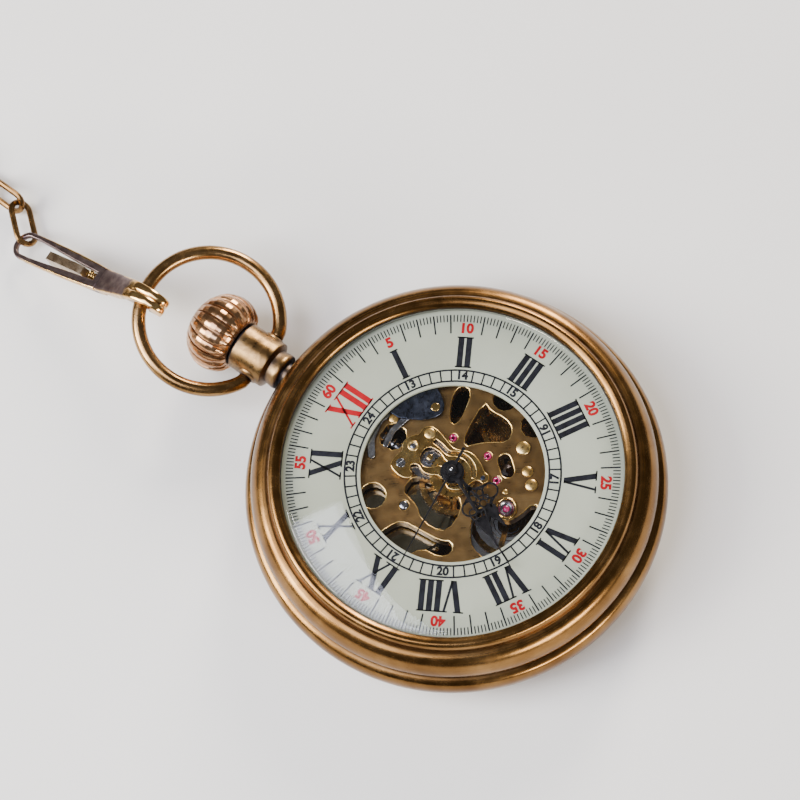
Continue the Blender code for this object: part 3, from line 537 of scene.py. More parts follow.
def link(bm, start, end, roll):
    """One oval link of round wire between two joints of the chain."""
    start, end = Vector(start), Vector(end)
    length = (end - start).length + 2 * (LINK_PLAY + LINK_WIRE)
    bend = LINK_WIDTH / 2 - LINK_WIRE
    straight = length / 2 - LINK_WIRE - bend
    loop = arc((straight, 0), bend, -90, 90, 10) + arc((-straight, 0), bend, 90, 270, 10)
    along = (end - start).normalized()
    side = UP.cross(along).normalized()
    frame_of = Matrix((along, side, along.cross(side))).transposed().to_4x4()
    first = len(bm.verts)
    wire([(x, y, 0) for x, y in loop], LINK_WIRE, 10, True, UP, bm)
    placed(bm, first, Matrix.Translation((start + end) / 2) @ frame_of
           @ Matrix.Rotation(roll, 4, "X"))


def make_chain():
    for number, (start, end) in enumerate(LINK_PLAN, 1):
        bm = bmesh.new()
        link(bm, (*start, CHAIN_HEIGHT), (*end, CHAIN_HEIGHT), LINK_ROLLS[number - 1])
        node = "chain_link_%d" % number
        make(node + "_wire", bm, WIRE_BRASS, node, (node,))
    route = chain_route()
    length = spaced(route, 1)[1]
    count = 2 * round(length / LINK_PITCH / 2)
    joints = spaced(route, count)[0]
    bm = bmesh.new()
    for i in range(count):
        link(bm, joints[i], joints[i + 1], LINK_ROLLS[i % 2])
    chain = make("guard_chain", bm, WIRE_BRASS, "chain",
                 ("chain_run", "chain_coil", "chain_tail"))
    lying = (Matrix.Translation((*COIL_CENTRE, CHAIN_HEIGHT))
             @ Matrix.Rotation(math.radians(8), 4, "Z") @ Matrix.Rotation(math.pi / 2, 4, "Y"))
    half = ([(0, -10.5)]
            + curved([(0.55, -10.42), (1.1, -10.1), (1.5, -9.4), (1.3, -8.7), (0.82, -8.25)])
            + curved([(0.8, -8.1), (0.86, -5), (0.98, -2.0)])
            + curved([(1.05, -1.6), (1.45, -1.25), (1.5, -0.6), (1.5, 0)]))
    profile = half + [(radius, -along) for radius, along in reversed(half[:-1])]
    bar = make("chain_bar_turned", lathe(profile, 40, lying), WIRE_BRASS, "chain",
               ("chain_bar",))
    eye = [(COIL_CENTRE[0], y, z) for y, z in circle(0.75, 24, (84.85, CHAIN_HEIGHT))]
    ring = make("chain_bar_eye", wire(eye, 0.3, 10, True, Vector((1, 0, 0))), WIRE_BRASS, "chain",
                ())


# Case and dial

def cut(target, bm):
    """Subtract a bmesh in millimetres from a piece's mesh for good."""
    bmesh.ops.recalc_face_normals(bm, faces=bm.faces[:])
    cutter = linked("cutter", mesh_of("cutter", bm))
    change = target.modifiers.new("cut", "BOOLEAN")
    change.object = cutter
    bpy.context.view_layer.update()
    evaluated = target.evaluated_get(bpy.context.evaluated_depsgraph_get())
    result = bpy.data.meshes.new_from_object(evaluated)
    target.modifiers.remove(change)
    result.set_sharp_from_angle(angle=math.radians(SHARP))
    target.data = result
    bpy.data.objects.remove(cutter)


def rod(start, end, radius, sides=32, bm=None):
    axis = Vector(end) - Vector(start)
    turn = UP.rotation_difference(axis).to_matrix().to_4x4()
    return lathe([(0, 0), (radius, 0), (radius, axis.length), (0, axis.length)], sides,
                 Matrix.Translation(start) @ turn, None, bm)


def make_case():
    middle = make("case_middle_turned", lathe(
        [(18.9, 9.35), (19.5, 9.35), (19.5, 6.78)]
        + curved([(21.4, 6.78), (21.9, 6.68), (22.4, 6.35), (22.7, 5.75), (22.8, 5.0),
                  (22.66, 4.2), (22.3, 3.5), (21.6, 3.02)], 6)
        + [(19.6, 3.02), (19.6, 2.0), (18.9, 2.0)], 256),
        CASE_BRASS, "case", ("case_middle",), 0, 50)
    cut(middle, rod((0, 17, STEM_HEIGHT), (0, 25, STEM_HEIGHT), 1.35))
    make("bezel_turned", lathe(
        [(18.3, 10.0)]
        + curved([(18.3, 10.72), (18.38, 11.0), (18.6, 11.22), (18.95, 11.37), (19.25, 11.38),
                  (19.52, 11.22), (19.68, 10.95), (19.78, 10.62), (19.84, 10.42)], 5)
        + curved([(19.9, 10.33), (20.1, 10.33), (20.5, 10.22), (20.9, 9.97), (21.25, 9.6),
                  (21.6, 9.0), (21.8, 8.4), (21.85, 7.9), (21.72, 7.25), (21.4, 6.88)], 5)
        + [(19.6, 6.88), (19.6, 10.0)], 256), CASE_BRASS, "case", ("bezel",), 0, 60)
    make("case_back_turned", lathe(
        [(15.0, 0.0), (16.7, 0.0)]
        + curved([(16.9, 0.06), (17.2, 0.16), (17.4, 0.1), (17.6, 0.08), (18.8, 0.18),
                  (20.4, 0.68), (21.5, 1.55), (21.88, 2.3), (21.85, 2.85)], 5)
        + [(19.7, 2.9), (19.7, 1.85), (14.0, 1.6), (14.0, 1.25), (15.0, 1.25)], 256),
        CASE_BRASS, "case", ("case_back",), 0, 45)
    make("back_glass_clear", lathe(
        [(0, 0.005), (14.7, 0.005), (14.95, 0.25), (14.95, 1.2), (0, 1.2)], 128), CRYSTAL, "case",
        ("back_glass",))
    make("crystal_dome", lathe(
        curved([(0, 12.7), (3, 12.66), (6, 12.51), (9, 12.27), (12, 11.92), (15, 11.48),
                (17, 11.12), (18.0, 10.9), (18.22, 10.72)], 4)
        + [(18.25, 10.15), (17.9, 10.15)]
        + curved([(17.8, 10.22), (16.3, 10.6), (14.2, 10.98), (12, 11.28), (9, 11.61),
                  (6, 11.85), (3, 11.97), (0, 12.0)], 3), 160), CRYSTAL, "case", ("crystal",),
        0, 60)
    make("dial_plate", lathe(
        [(9.9, 9.4), (19.0, 9.4), (19.0, 9.8), (9.98, 9.8), (9.88, 9.76), (9.85, 9.7),
         (9.85, 9.45)], 256), DIAL, "case", ("dial",), 0, 30)


PRINT = (DIAL_TOP, DIAL_TOP + 0.02)
STEM_WIDE, STEM_THIN, SERIF = 0.62, 0.25, 0.15
NUMERAL_FOOT, NUMERAL_HEAD = 11.86, 15.36


def glyph(letter):
    """Strokes of a Roman letter as quads in its own frame, and its advance."""
    height = NUMERAL_HEAD - NUMERAL_FOOT

    def leg(foot, head, width):
        return [(foot - width / 2, 0), (foot + width / 2, 0), (head + width / 2, height),
                (head - width / 2, height)]

    def bar(left, right, level):
        low = 0 if level == 0 else height - SERIF
        return [(left, low), (right, low), (right, low + SERIF), (left, low + SERIF)]

    if letter == "I":
        return [leg(0, 0, STEM_WIDE), bar(-0.46, 0.46, 0), bar(-0.46, 0.46, 1)], 0.86
    if letter == "V":
        return [leg(0.02, -0.72, STEM_WIDE), leg(0.14, 0.82, STEM_THIN),
                bar(-1.28, -0.2, 1), bar(0.44, 1.2, 1)], 2.2
    return [leg(0.74, -0.74, STEM_WIDE), leg(-0.86, 0.86, STEM_THIN), bar(-1.2, -0.35, 0),
            bar(0.22, 1.25, 0), bar(-1.25, -0.22, 1), bar(0.4, 1.2, 1)], 2.3


def dial_spot(angle, along, across=0.0):
    """Point at a clock angle in degrees, from its reach and its sideways step."""
    a = math.radians(angle)
    return (along * math.sin(a) + across * math.cos(a),
            along * math.cos(a) - across * math.sin(a))


def numeral(bm, letters, angle):
    total = sum(glyph(letter)[1] for letter in letters)
    start = -total / 2
    for letter in letters:
        strokes, advance = glyph(letter)
        for stroke in strokes:
            prism(bm, [dial_spot(angle, NUMERAL_FOOT + y, start + advance / 2 + x)
                       for x, y in stroke], *PRINT)
        start += advance


def digits(bm, text, size, reach, angle, outward, weight):
    """Figures on the dial, from the built-in typeface, as thin closed solids."""
    curve = bpy.data.curves.new("figure", "FONT")
    curve.body = text
    curve.size = size
    curve.align_x = "CENTER"
    curve.align_y = "CENTER"
    curve.offset = weight
    curve.extrude = (PRINT[1] - PRINT[0]) / 2
    curve.resolution_u = 4
    figure = linked("figure", curve)
    bpy.context.view_layer.update()
    mesh = bpy.data.meshes.new_from_object(figure)
    spin = math.radians(-angle if outward else 180 - angle)
    mesh.transform(Matrix.Translation((*dial_spot(angle, reach), sum(PRINT) / 2))
                   @ Matrix.Rotation(spin, 4, "Z"))
    bm.from_mesh(mesh)
    bpy.data.objects.remove(figure)
    bpy.data.curves.remove(curve)
    bpy.data.meshes.remove(mesh)


def make_print():
    black, red = bmesh.new(), bmesh.new()
    for hour, letters in enumerate(("XII", "I", "II", "III", "IIII", "V", "VI", "VII", "VIII",
                                    "IX", "X", "XI")):
        numeral(red if hour == 0 else black, letters, 30 * hour)
        digits(red, str(5 * hour or 60), 1.52, 16.3, 30 * hour, True, 0.07)
        number = 24 if hour == 0 else 12 + hour
        digits(black, str(number), 1.26, 10.93, 30 * hour, hour not in (4, 5, 6, 7, 8), 0.055)
    for radius in (10.3, 11.55):
        hoop(black, radius - 0.095, radius + 0.095, *PRINT, sides=240)
    for minute in range(60):
        angle = 6 * minute
        if minute % 5:
            prism(black, [dial_spot(angle, r, w) for r, w in
                          ((10.33, -0.08), (10.33, 0.08), (11.52, 0.08), (11.52, -0.08))],
                  *PRINT)
        for fifth in range(5):
            long = fifth == 0 and minute % 5
            foot, half = (15.75, 0.08) if long else (17.06, 0.06)
            prism(black, [dial_spot(angle + 1.2 * fifth, r, w) for r, w in
                          ((foot, -half), (foot, half), (17.86, half), (17.86, -half))], *PRINT)
    make("dial_print_black", black, INK, "case", ())
    make("dial_print_red", red, RED_INK, "case", ())


# Hands

def strip(bm, angle, points, widths, heights):
    """Flat strip of a hand along (reach, sideways) points, on both sides if it is off-centre."""
    if hasattr(widths, "__len__"):
        widths = [w[0] for w in curved([(w, 0) for w in widths])]
    for side in (1, -1) if any(across for _, across in points) else (1,):
        line = [dial_spot(angle, along, side * across) for along, across in curved(points)]
        prism(bm, band(line, widths), *heights)


def loops(bm, angle, spots, heights):
    """Small rings of a hand from (reach, sideways, radius, width), like its strips."""
    for along, across, radius, width in spots:
        for side in (1, -1) if across else (1,):
            hoop(bm, radius - width, radius, *heights,
                 centre=dial_spot(angle, along, side * across), sides=32)


def make_hands():
    angle, heights = 191.5, (10.05, 10.2)
    bm = hoop(bmesh.new(), 0.93, 1.28, 10.05, 10.24)
    strip(bm, angle, [(1.2, 0), (1.9, 0), (2.7, 0)], [0.34, 0.2, 0.3], heights)
    strip(bm, angle, [(2.5, 0), (3.0, 0.35), (3.3, 0.9), (3.55, 1.5)], 0.13, heights)
    strip(bm, angle, [(2.6, 0), (3.4, 0), (4.4, 0)], 0.12, heights)
    loops(bm, angle, [(4.32, 1.45, 0.92, 0.2), (3.72, 0.52, 0.46, 0.14), (4.85, 0, 0.5, 0.15),
                      (4.55, 0.62, 0.36, 0.13)], heights)
    strip(bm, angle, [(5.15, 1.2), (5.3, 0.7), (5.7, 0.35)], 0.16, heights)
    prism(bm, [dial_spot(angle, *p) for p in
               [(5.2, 0.3), (5.7, 0.75), (6.2, 0.72), (6.8, 0.4), (7.5, 0.18), (8.4, 0.05),
                (8.4, -0.05), (7.5, -0.18), (6.8, -0.4), (6.2, -0.72), (5.7, -0.75),
                (5.2, -0.3)]], *heights)
    make("hour_hand_filigree", bm, LACQUER, "hour_wheel", ("hour_hand",), 0.03)

    angle, heights = 204.6, (10.4, 10.52)
    bm = hoop(bmesh.new(), 0.63, 1.1, 10.4, 10.56)
    strip(bm, angle, [(1.0, 0), (2.2, 0), (4.9, 0)], [0.26, 0.16, 0.2], heights)
    loops(bm, angle, [(5.15, 0.42, 0.42, 0.13), (5.75, 0.0, 0.4, 0.13)], heights)
    strip(bm, angle, [(5.4, 0.85), (5.9, 0.75), (6.4, 0.3)], 0.1, heights)
    prism(bm, [dial_spot(angle, *p) for p in
               [(6.0, 0.25), (6.4, 0.95), (6.9, 0.6), (7.6, 0.45), (8.6, 0.12), (12.4, 0.055),
                (12.4, -0.055), (8.6, -0.12), (7.6, -0.45), (6.9, -0.6), (6.4, -0.95),
                (6.0, -0.25)]], *heights)
    make("minute_hand_filigree", bm, LACQUER, "centre_arbor", ("minute_hand",), 0.025)

    angle, heights = 263.0, (10.72, 10.84)
    bm = hoop(bmesh.new(), 0.19, 0.6, *heights)
    lathe([(0.19, 10.84), (0.5, 10.84), (0.5, 11.02), (0.42, 11.12), (0.19, 11.15)], 40, bm=bm)
    prism(bm, [dial_spot(angle, *p) for p in
               [(0.5, 0.11), (12.3, 0.045), (12.3, -0.045), (0.5, -0.11)]], *heights)
    prism(bm, [dial_spot(angle, *p) for p in
               [(-0.5, 0.13), (-0.5, -0.13), (-2.8, -0.17), (-2.8, 0.17)]], *heights)
    make("seconds_hand_needle", bm, LACQUER, "fourth_wheel", ("seconds_hand",), 0.02)
    make("centre_cap", lathe([(0, 10.9), (0.17, 10.9), (0.17, 11.16), (0.1, 11.2), (0, 11.2)], 24),
         STEEL, "fourth_wheel", ())


# Crown, pendant and bow

STEM_LINE = Matrix.Translation((0, 0, STEM_HEIGHT)) @ Matrix.Rotation(-math.pi / 2, 4, "X")
RIBS = 20
BOW_PINS = 26.2
BOW_TILT = math.radians(10.5)
BOW_RADIUS = 7.74
BOW_CENTRE = 7.0                       # distance from its pins
BOW_WIRE = 0.785


def bow_point(x, along):
    """Point in the bow's plane, from its sideways step and its distance from the pins."""
    return Vector((x, BOW_PINS + along * math.cos(BOW_TILT),
                   STEM_HEIGHT + along * math.sin(BOW_TILT)))


def rib(radius, height, angle):
    """Flat-topped rib with narrow grooves, drawn to a point beside the pendant."""
    place = abs((RIBS * angle / TAU) % 1.0 * 2 - 1)
    share = min(max((radius - 1.0) / 1.5, 0.0), 1.0)
    width = min(max((height - 28.95) / 1.2, 0.05), 0.84)
    crest = 0.15 - 0.1 * (place / width) ** 2
    return share * (crest if place < width else -0.14)


def make_winding():
    bm = lathe([(0.65, 32.8), (0.65, 29.0), (2.9, 29.0), (3.15, 29.08), (3.4, 29.24),
                (3.66, 29.5), (3.92, 29.86), (4.15, 30.35), (4.3, 31.0), (4.32, 31.7),
                (4.18, 32.4), (3.86, 33.1), (3.36, 33.75), (2.7, 34.3), (1.9, 34.72),
                (1.0, 35.0), (0, 35.1), (0, 32.8)], RIBS * 20, STEM_LINE, rib)
    make("crown_ribbed", bm, ROSE, "crown_and_stem", ("crown",), 0, 9)
    refined("winding_stem", STEEL, 0.04)
    bm = lathe([(0.75, 19.0), (1.3, 19.0), (1.3, 22.95)]
               + curved([(1.95, 22.95), (2.06, 23.08), (2.1, 23.4), (2.02, 23.9), (1.98, 24.3)], 4)
               + curved([(2.3, 24.45), (2.6, 24.58), (2.7, 24.8), (2.7, 26.5), (2.7, 28.4),
                         (2.66, 28.7), (2.52, 28.85)], 4)
               + [(0.75, 28.85)], 96, STEM_LINE)
    pendant = make("pendant_turned", bm, PENDANT_BRASS, "case", ("pendant",), 0, 40)
    holes = bmesh.new()
    for side in (-1, 1):
        rod((side * 1.35, BOW_PINS, STEM_HEIGHT), (side * 3.2, BOW_PINS, STEM_HEIGHT), 0.65, 24,
            holes)
    cut(pendant, holes)
    bm = bmesh.new()
    for side in (-1, 1):
        ear = (Matrix.Translation((side * 2.36, BOW_PINS, STEM_HEIGHT))
               @ Matrix.Rotation(side * math.pi / 2, 4, "Y"))
        lathe([(0.66, 0), (1.35, 0), (1.28, 0.2), (1.05, 0.38), (0.66, 0.42)], 40, ear, None, bm)
    make("pendant_ears", bm, PENDANT_BRASS, "case", (), 0.03)

    half = [(1.45, 0, 0.55), (2.79, 0, 0.55), (2.85, 0, 0.74), (2.91, 0.01, BOW_WIRE),
            (3.1, 0.04, BOW_WIRE), (3.45, 0.1, BOW_WIRE)]
    ring = [(BOW_RADIUS * math.cos(math.radians(a)),
             BOW_CENTRE + BOW_RADIUS * math.sin(math.radians(a)), BOW_WIRE)
            for a in range(-60, 241, 4)]
    route = half + ring + [(-x, along, radius) for x, along, radius in reversed(half)]
    normal = Vector((0, -math.sin(BOW_TILT), math.cos(BOW_TILT)))
    bm = wire([bow_point(x, along) for x, along, _ in route], [r for _, _, r in route], 28,
              up=normal)
    make("bow_wire", bm, WIRE_BRASS, "bow", ("bow",), 0, 45)


# Clip

def clip_frame():
    """Clip's own axes: X along it from the bow, Y across it, Z off its back; and its length."""
    grip_angle = math.radians(17.0)
    grip = bow_point(-BOW_RADIUS * math.sin(grip_angle),
                     BOW_CENTRE + BOW_RADIUS * math.cos(grip_angle))
    end = Vector((-3.5, 58.4, 1.5))
    run = (end - grip).normalized()
    across = UP.cross(run).normalized()
    turn = Matrix((run, across, run.cross(across))).transposed().to_4x4()
    return Matrix.Translation(grip) @ turn, (end - grip).length


def clip_metal(name, frame_of):
    """Dark bronze back with edges rubbed to gold and a polished nose."""
    s = Shader(name)
    local = frame_of.inverted()
    spot = s.add("TexCoord", output="Object")

    def reach(axis):
        dot = s.add("VectorMath", {0: spot, 1: [1000 * c for c in local[axis][:3]]}, 1,
                    operation="DOT_PRODUCT")
        return s.sums("ADD", dot, local[axis][3])

    along, across = reach(0), s.sums("ABSOLUTE", reach(1), 0.0)
    tone = s.noise(0.9, 5.0, rough=0.65)
    edge = s.sums("SUBTRACT", across, s.sums("MULTIPLY", along, 0.04))
    edge = s.sums("ADD", edge, s.spread(tone, -0.12, 0.12))
    rubbed = s.sums("MAXIMUM", s.spread(edge, 0.0, 1.0, 0.98, 1.12),
                    s.spread(s.sums("ADD", along, s.spread(tone, -0.3, 0.3)), 1.0, 0.0,
                             1.0, 1.6))
    bronze = s.ramp(tone, (0.35, (0.12, 0.085, 0.085)), (0.65, (0.25, 0.185, 0.175)))
    gold = s.ramp(tone, (0.35, (0.60, 0.33, 0.11)), (0.65, (0.88, 0.60, 0.27)))
    colour = s.mix(rubbed, bronze, gold)
    # Painted shade: ambient occlusion darkens the clip's grooves and the seam of its nose
    colour = s.mix(s.add("Clamp", {0: s.sums("MULTIPLY", s.crevice(0.3), 0.8)}), colour, CREVICE_SHADE)
    return s.done({"Base Color": colour, "Metallic": 1.0,
                   "Roughness": s.spread(rubbed, 0.34, 0.16, 0.0, 1.0),
                   "Normal": s.bump(s.noise(5.0, 4.0), 0.01)})


def folded(bm, outline, half_width, seam):
    """Solid across the clip from a side outline, rounded into two lobes side by side.

    The half width and the depth of the seam between the lobes depend on the reach.
    """
    count = len(outline)
    rings = []
    for step in range(-12, 13):
        share = math.sin(math.pi / 2 * step / 12)
        lobe = 1 - math.sqrt(max(1 - (2 * abs(share) - 1) ** 2, 0))
        ring = []
        for i, (u, w) in enumerate(outline):
            before, after = outline[i - 1], outline[(i + 1) % count]
            facing = Vector((before[1] - after[1], after[0] - before[0])).normalized()
            depth = lobe * (seam(u) if abs(share) < 0.5 else 0.2)
            ring.append(bm.verts.new((u + facing.x * depth, -share * half_width(u),
                                      w + facing.y * depth)))
        rings.append(ring)
    for a, b in zip(rings, rings[1:]):
        for i in range(count):
            bm.faces.new((a[i - 1], a[i], b[i], b[i - 1]))
    bm.faces.new(rings[0])
    bm.faces.new(rings[-1])
    return bm


def make_clip():
    frame_of, length = clip_frame()
    body = clip_metal("clip_body_metal", frame_of)

    def drawn_out(points, factor):
        return [(x * factor if x < 0 else x, y) for x, y in points]

    hook = (drawn_out(arc((0, 0), 1.15, 205, 40, 22), 1.35)
            + curved([(1.6, 0.35), (2.4, 0.0), (3.4, -0.15), (6.25, -0.2)], 4)
            + curved([(6.25, 0.34), (4.6, 0.7), (3.0, 1.12), (1.9, 1.45), (1.1, 1.68)], 4)
            + drawn_out(arc((0, 0), 1.9, 68, 215, 24), 1.75))
    bm = folded(bmesh.new(), hook, lambda u: 0.9 + 0.5 * min(max((u + 3.3) / 9.5, 0), 1),
                lambda u: 0.22 * min(max((1.8 - u) / 1.2, 0), 1))
    placed(bm, 0, frame_of)
    make("clip_hook_folded", bm, body, "clip", ("clip_hook",), 0, 40)

    end = length - 1.5
    half_out = [(6.3, 1.42), (8.0, 1.56), (10.5, 1.68), (14.0, 1.76), (16.5, 1.77)]
    half_in = [(7.0, 0.5), (8.0, 0.56), (10.5, 0.72), (14.0, 1.0), (16.5, 1.18)]
    sides = []
    for half, radius in ((half_out, 1.75), (half_in, 1.2)):
        upper = curved(half, 5)
        sides.append([(u, -v) for u, v in upper] + arc((end, 0), radius, -75, 75, 30)
                     + upper[::-1])
    bm = pierced(bmesh.new(), sides[1], sides[0], -0.3, 0.3)
    placed(bm, 0, frame_of)
    make("clip_loop_frame", bm, body, "clip", ("clip_loop",), 0.14, 40)

    bm = bmesh.new()
    for side in (-1, 1):
        cheek = curved([(4.4, -0.24), (5.0, -0.7), (6.6, -1.1), (8.8, -1.3), (11.0, -1.0),
                        (13.4, -0.5), (14.4, -0.24)], 5)
        first = len(bm.verts)
        prism(bm, cheek, 1.02 * side, 1.26 * side)
        placed(bm, first, frame_of @ Matrix.Rotation(math.pi / 2, 4, "X"))
    make("clip_cheeks", bm, body, "clip", (), 0.07, 40)
    refined("clip_pin", GILT, 0.05)

    ridges = [(14.2 - 0.12 * i, 0.45 - 0.09 * (i % 2)) for i in range(40)]
    lever = (curved([(-1.9, -1.38), (0.9, -1.35), (1.2, -0.92), (1.9, -0.74), (3.4, -0.64),
                     (8.2, -0.64), (8.7, -0.4), (9.1, 0.2)], 3)
             + ridges[::-1] + curved([(14.32, 0.3), (14.3, -0.6), (14.1, -1.18), (8.8, -1.5),
                                      (3.2, -1.52), (1.6, -1.74), (-1.9, -1.75)], 3))
    bm = prism(bmesh.new(), lever, -0.5, 0.5)
    placed(bm, 0, frame_of @ Matrix.Rotation(math.pi / 2, 4, "X"))
    make("clip_lever_knurled", bm, KNURLED, "clip_lever", ("clip_lever",), 0, 20)

    coil = [frame_of @ Vector((7.15 + 1.05 * t / 60, 0.34 * math.cos(TAU * t / 20),
                               -0.12 + 0.34 * math.sin(TAU * t / 20))) for t in range(61)]
    make("clip_spring", wire(coil, 0.1, 10), GILT, "clip", ())


# Movement

def screw(name, place, radius, low, height, angle, material):
    """Cheese-head screw with a slot across it."""
    bm = bmesh.new()
    half = 0.13 * radius
    floor = low + 0.5 * height
    prism(bm, circle(radius, 40, place), low, floor)
    a = math.radians(angle)
    lean = math.degrees(math.asin(half / radius))
    for turn in (0, 180):
        outline = arc(place, radius, angle + turn + lean, angle + turn + 180 - lean, 20)
        prism(bm, outline, floor, low + height)
    return make(name, bm, material, "case", edge=0.1 * radius)


def dome(name, place, radius, low, height, material, body="case", hole=0.0):
    """Polished domed cap, with a dimple if hole is given."""
    rise = [(radius * math.cos(t), low + height * (0.35 + 0.65 * math.sin(t)))
            for t in [math.pi / 2 * i / 10 for i in range(10)]]
    top = [(0, low + height)] if not hole else [(hole, low + height * 0.98),
                                                 (hole * 0.8, low + height * 0.7),
                                                 (0, low + height * 0.65)]
    bm = lathe([(0, low), (radius, low)] + rise + top, 40,
               Matrix.Translation((*place, 0)))
    return make(name, bm, material, body, sharp=50)


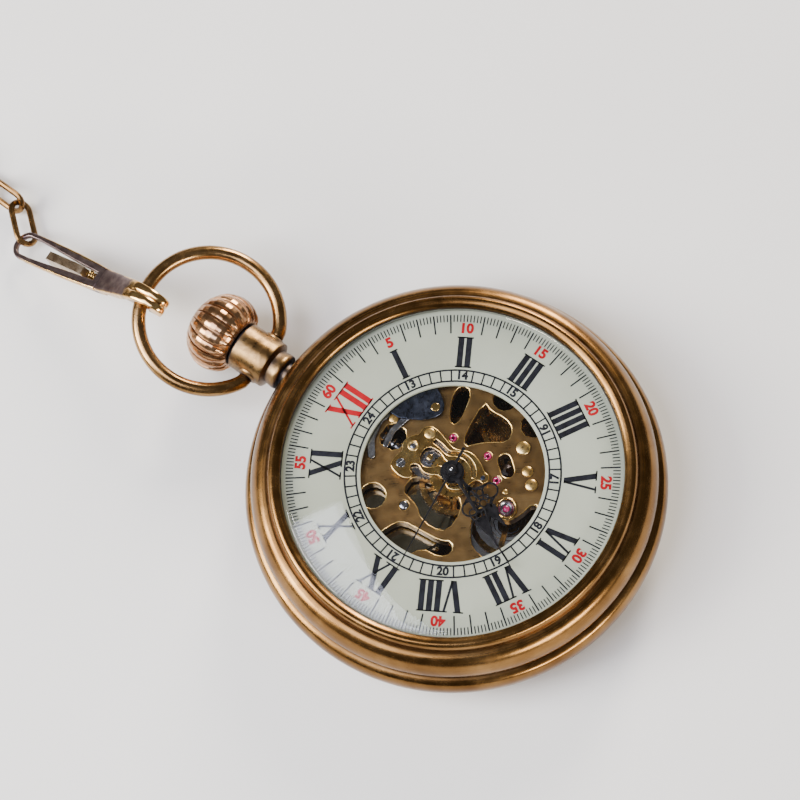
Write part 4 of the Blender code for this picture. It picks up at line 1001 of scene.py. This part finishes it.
def make_movement():
    refined("main_plate", PLATE, 0.11, 3, GILT_SATIN)
    for node in ("barrel_bridge", "train_bridge", "balance_cock", "pallet_bridge"):
        refined(node, BRIDGE, 0.1, 2)
    lobes = curved([
        (-2.9, 6.1), (-3.3, 5.2), (-3.35, 4.3), (-2.95, 3.55), (-2.4, 3.55), (-2.05, 4.15),
        (-1.55, 4.2), (-1.3, 3.6), (-1.6, 2.8), (-1.45, 1.9), (-1.05, 1.2), (-1.2, 0.3),
        (-1.6, -0.5), (-1.3, -1.35), (-0.6, -2.0), (0.5, -2.3), (0.9, -2.75), (0.9, -3.3),
        (1.45, -3.6), (2.0, -3.3), (2.1, -2.7), (2.6, -1.9), (3.0, -0.8), (3.0, 0.0),
        (2.65, 0.9), (2.45, 1.6), (2.75, 2.8), (3.1, 4.0), (3.05, 5.0), (2.4, 5.6), (1.6, 5.6),
        (1.3, 5.9), (0.6, 6.35), (-0.2, 6.45), (-0.9, 6.05), (-1.9, 6.25)], 5, True)
    bridge = make("minute_wheel_bridge_lobed", prism(bmesh.new(), lobes, 9.25, BRIDGE_TOP), GILT,
                  "case", ("minute_wheel_bridge",))
    keyhole = curved([(0.15, 4.1), (-0.75, 3.75), (-1.0, 2.95), (-0.55, 2.2), (-0.05, 1.75),
                      (0.1, 1.25), (0.7, 1.2), (0.85, 1.7), (1.15, 2.5), (1.15, 3.4),
                      (0.85, 3.95)], 5, True)
    groove = curved(arc((0, 0), 2.25, -62, 40, 8) + [(1.65, 2.0), (1.85, 2.9), (1.9, 3.6)], 3)
    for outline in (circle(1.25, 64), keyhole, band(groove, 0.24, 8)):
        cut(bridge, prism(bmesh.new(), outline, 9.0, 9.8))
    bevel(bridge, 0.08, 3, GILT_SATIN)
    make("bridge_pivot_ring", lathe([(0.34, 9.49), (0.58, 9.49)]
                                    + curved([(0.6, 9.55), (0.53, 9.62), (0.4, 9.6),
                                              (0.34, 9.52)], 4), 40,
                                    Matrix.Translation((0.17, 5.3, 0))), GILT_SATIN, "case")
    dome("bridge_pivot", (0.17, 5.3), 0.32, 9.45, 0.12, STEEL, hole=0.12)
    dome("bridge_steady_pin", (1.4, -2.95), 0.28, 9.45, 0.08, BLUED, hole=0.1)
    refined("keyless_cover", BLUED, 0.07, 2)
    refined("setting_lever", STEEL, 0.06, 2)
    refined("yoke", STEEL, 0.06, 2)
    refined("minute_wheel", STEEL, 0.025, 1)
    dome("minute_pinion_top", (0.2, 3.15), 0.34, 9.2, 0.1, GILT, "minute_wheel", hole=0.14)
    refined("hour_wheel", GILT, 0.025, 1)
    refined("barrel", BARREL, 0.025, 1)
    for node in ("centre_wheel", "third_wheel", "fourth_wheel", "balance_wheel"):
        refined(node, WHEEL, 0.025, 1)
    for node in ("ratchet_wheel", "crown_wheel", "escape_wheel", "pallet_fork", "barrel_arbor",
                 "ratchet_screw", "click", "cannon_pinion", "winding_pinion", "sliding_pinion",
                 "bridge_post_1", "bridge_post_2", "bridge_post_3"):
        refined(node, STEEL, 0.03, 1)
    refined("cover_screw", GILT, 0.05, 2)
    refined("movement_ring", PLASTIC, 0.2, 2)
    for node in ("mainspring", "hairspring"):
        bpy.data.objects[node].data.materials.clear()
        bpy.data.objects[node].data.materials.append(STEEL)
    for node, x, y in (("third_jewel", 3.5, 2.5), ("escape_jewel", 3.9, -1.75),
                       ("pallet_jewel", 2.2, -4.1)):
        bm = lathe([(0.16, 7.5), (0.4, 7.5)]
                   + curved([(0.4, PLATE_TOP), (0.38, 8.64), (0.32, 8.65)], 3)
                   + curved([(0.28, 8.64), (0.2, 8.57), (0.16, 8.5)], 3), 36,
                   Matrix.Translation((x, y, 0)))
        make(node + "_stone", bm, RUBY, "case", (node,))
    centre = Matrix.Translation((0.2, -6.75, 0))
    make("balance_setting", lathe(
        [(0.93, 8.62), (1.22, 8.62)] + curved([(1.24, 8.72), (1.2, 8.86), (1.08, 8.92),
                                               (0.98, 8.86), (0.93, 8.74)], 4), 64, centre),
        GILT, "case", ())
    make("balance_setting_seat", lathe(
        [(0.42, 8.0), (0.9, 8.0), (0.9, 8.7)] + curved([(0.82, 8.76), (0.7, 8.62), (0.55, 8.5),
                                                        (0.42, 8.5)], 4), 64, centre),
        STEEL, "case", ())
    make("balance_jewel_stone", lathe(
        [(0, 7.7), (0.4, 7.7), (0.4, 8.5)] + curved([(0.38, 8.58), (0.3, 8.68), (0.16, 8.74),
                                                     (0, 8.75)], 4), 40, centre),
        RUBY, "case", ("balance_jewel",))
    dome("plate_screw_1", (6.75, -4.4), 0.78, PLATE_TOP, 0.32, GILT_SATIN, hole=0.3)
    dome("plate_screw_2", (4.85, -6.3), 0.62, PLATE_TOP, 0.3, GILT_SATIN)
    dome("plate_screw_3", (3.85, -7.5), 0.68, PLATE_TOP, 0.3, GILT_SATIN, hole=0.26)
    dome("plate_pin_1", (1.65, -5.6), 0.3, PLATE_TOP, 0.16, GILT_SATIN, hole=0.14)
    dome("plate_stud_steel", (-5.6, 2.5), 0.45, 8.62, 0.2, STEEL, hole=0.2)
    dome("setting_stud", (1.6, 8.95), 0.5, 9.0, 0.2, GILT_SATIN)
    screw("bridge_screw_1", (-2.13, 5.28), 0.5, BRIDGE_TOP, 0.16, -20, STEEL)
    dome("bridge_seat_screw", (2.3, 4.6), 0.6, BRIDGE_TOP, 0.2, GILT_SATIN, hole=0.25)


# Setting

def make_room():
    s = Shader("floor_pale")
    tone = s.noise(0.02, 3.0)
    material = s.done({"Base Color": s.ramp(tone, (0.3, (0.74, 0.73, 0.71)),
                                            (0.7, (0.77, 0.76, 0.74))), "Roughness": 0.7})
    half = 900
    mesh = mesh_of("floor", prism(bmesh.new(), [(-half, -half), (half, -half), (half, half),
                                                (-half, half)], -20, -0.02))
    mesh.materials.append(material)
    made = linked("floor", mesh)

    world = bpy.data.worlds.new("room")
    world.use_nodes = True
    back = world.node_tree.nodes["Background"]
    back.inputs["Color"].default_value = (1.0, 0.97, 0.93, 1.0)
    back.inputs["Strength"].default_value = 0.13
    bpy.context.scene.world = world

    def softbox(name, place, aim, width, height, power, colour):
        """Rectangular lamp, with its place and size in millimetres."""
        light = bpy.data.lights.new(name, "AREA")
        light.shape = "RECTANGLE"
        light.size, light.size_y = width * MM, height * MM
        light.energy = power
        light.color = colour
        lamp = linked(name, light)
        facing = (Vector(aim) - Vector(place)).normalized()
        lamp.matrix_world = (Matrix.Translation(Vector(place) * MM)
                             @ facing.to_track_quat("-Z", "Y").to_matrix().to_4x4())

    softbox("window", (-165, 95, 360), (0, 0, 8), 300, 190, 1.8, (0.80, 0.83, 1.0))
    softbox("sky", (-330, 330, 330), (0, 20, 8), 300, 260, 6.4, (1.0, 0.98, 0.93))
    softbox("lamp_right", (430, 150, 190), (0, 20, 8), 120, 260, 3.6, (1.0, 0.90, 0.78))
    softbox("lamp_low", (-120, -420, 180), (0, 0, 8), 260, 60, 2.4, (1.0, 0.94, 0.86))


make_camera()
make_chain()
make_case()
make_print()
make_hands()
make_winding()
make_clip()
make_movement()
make_room()
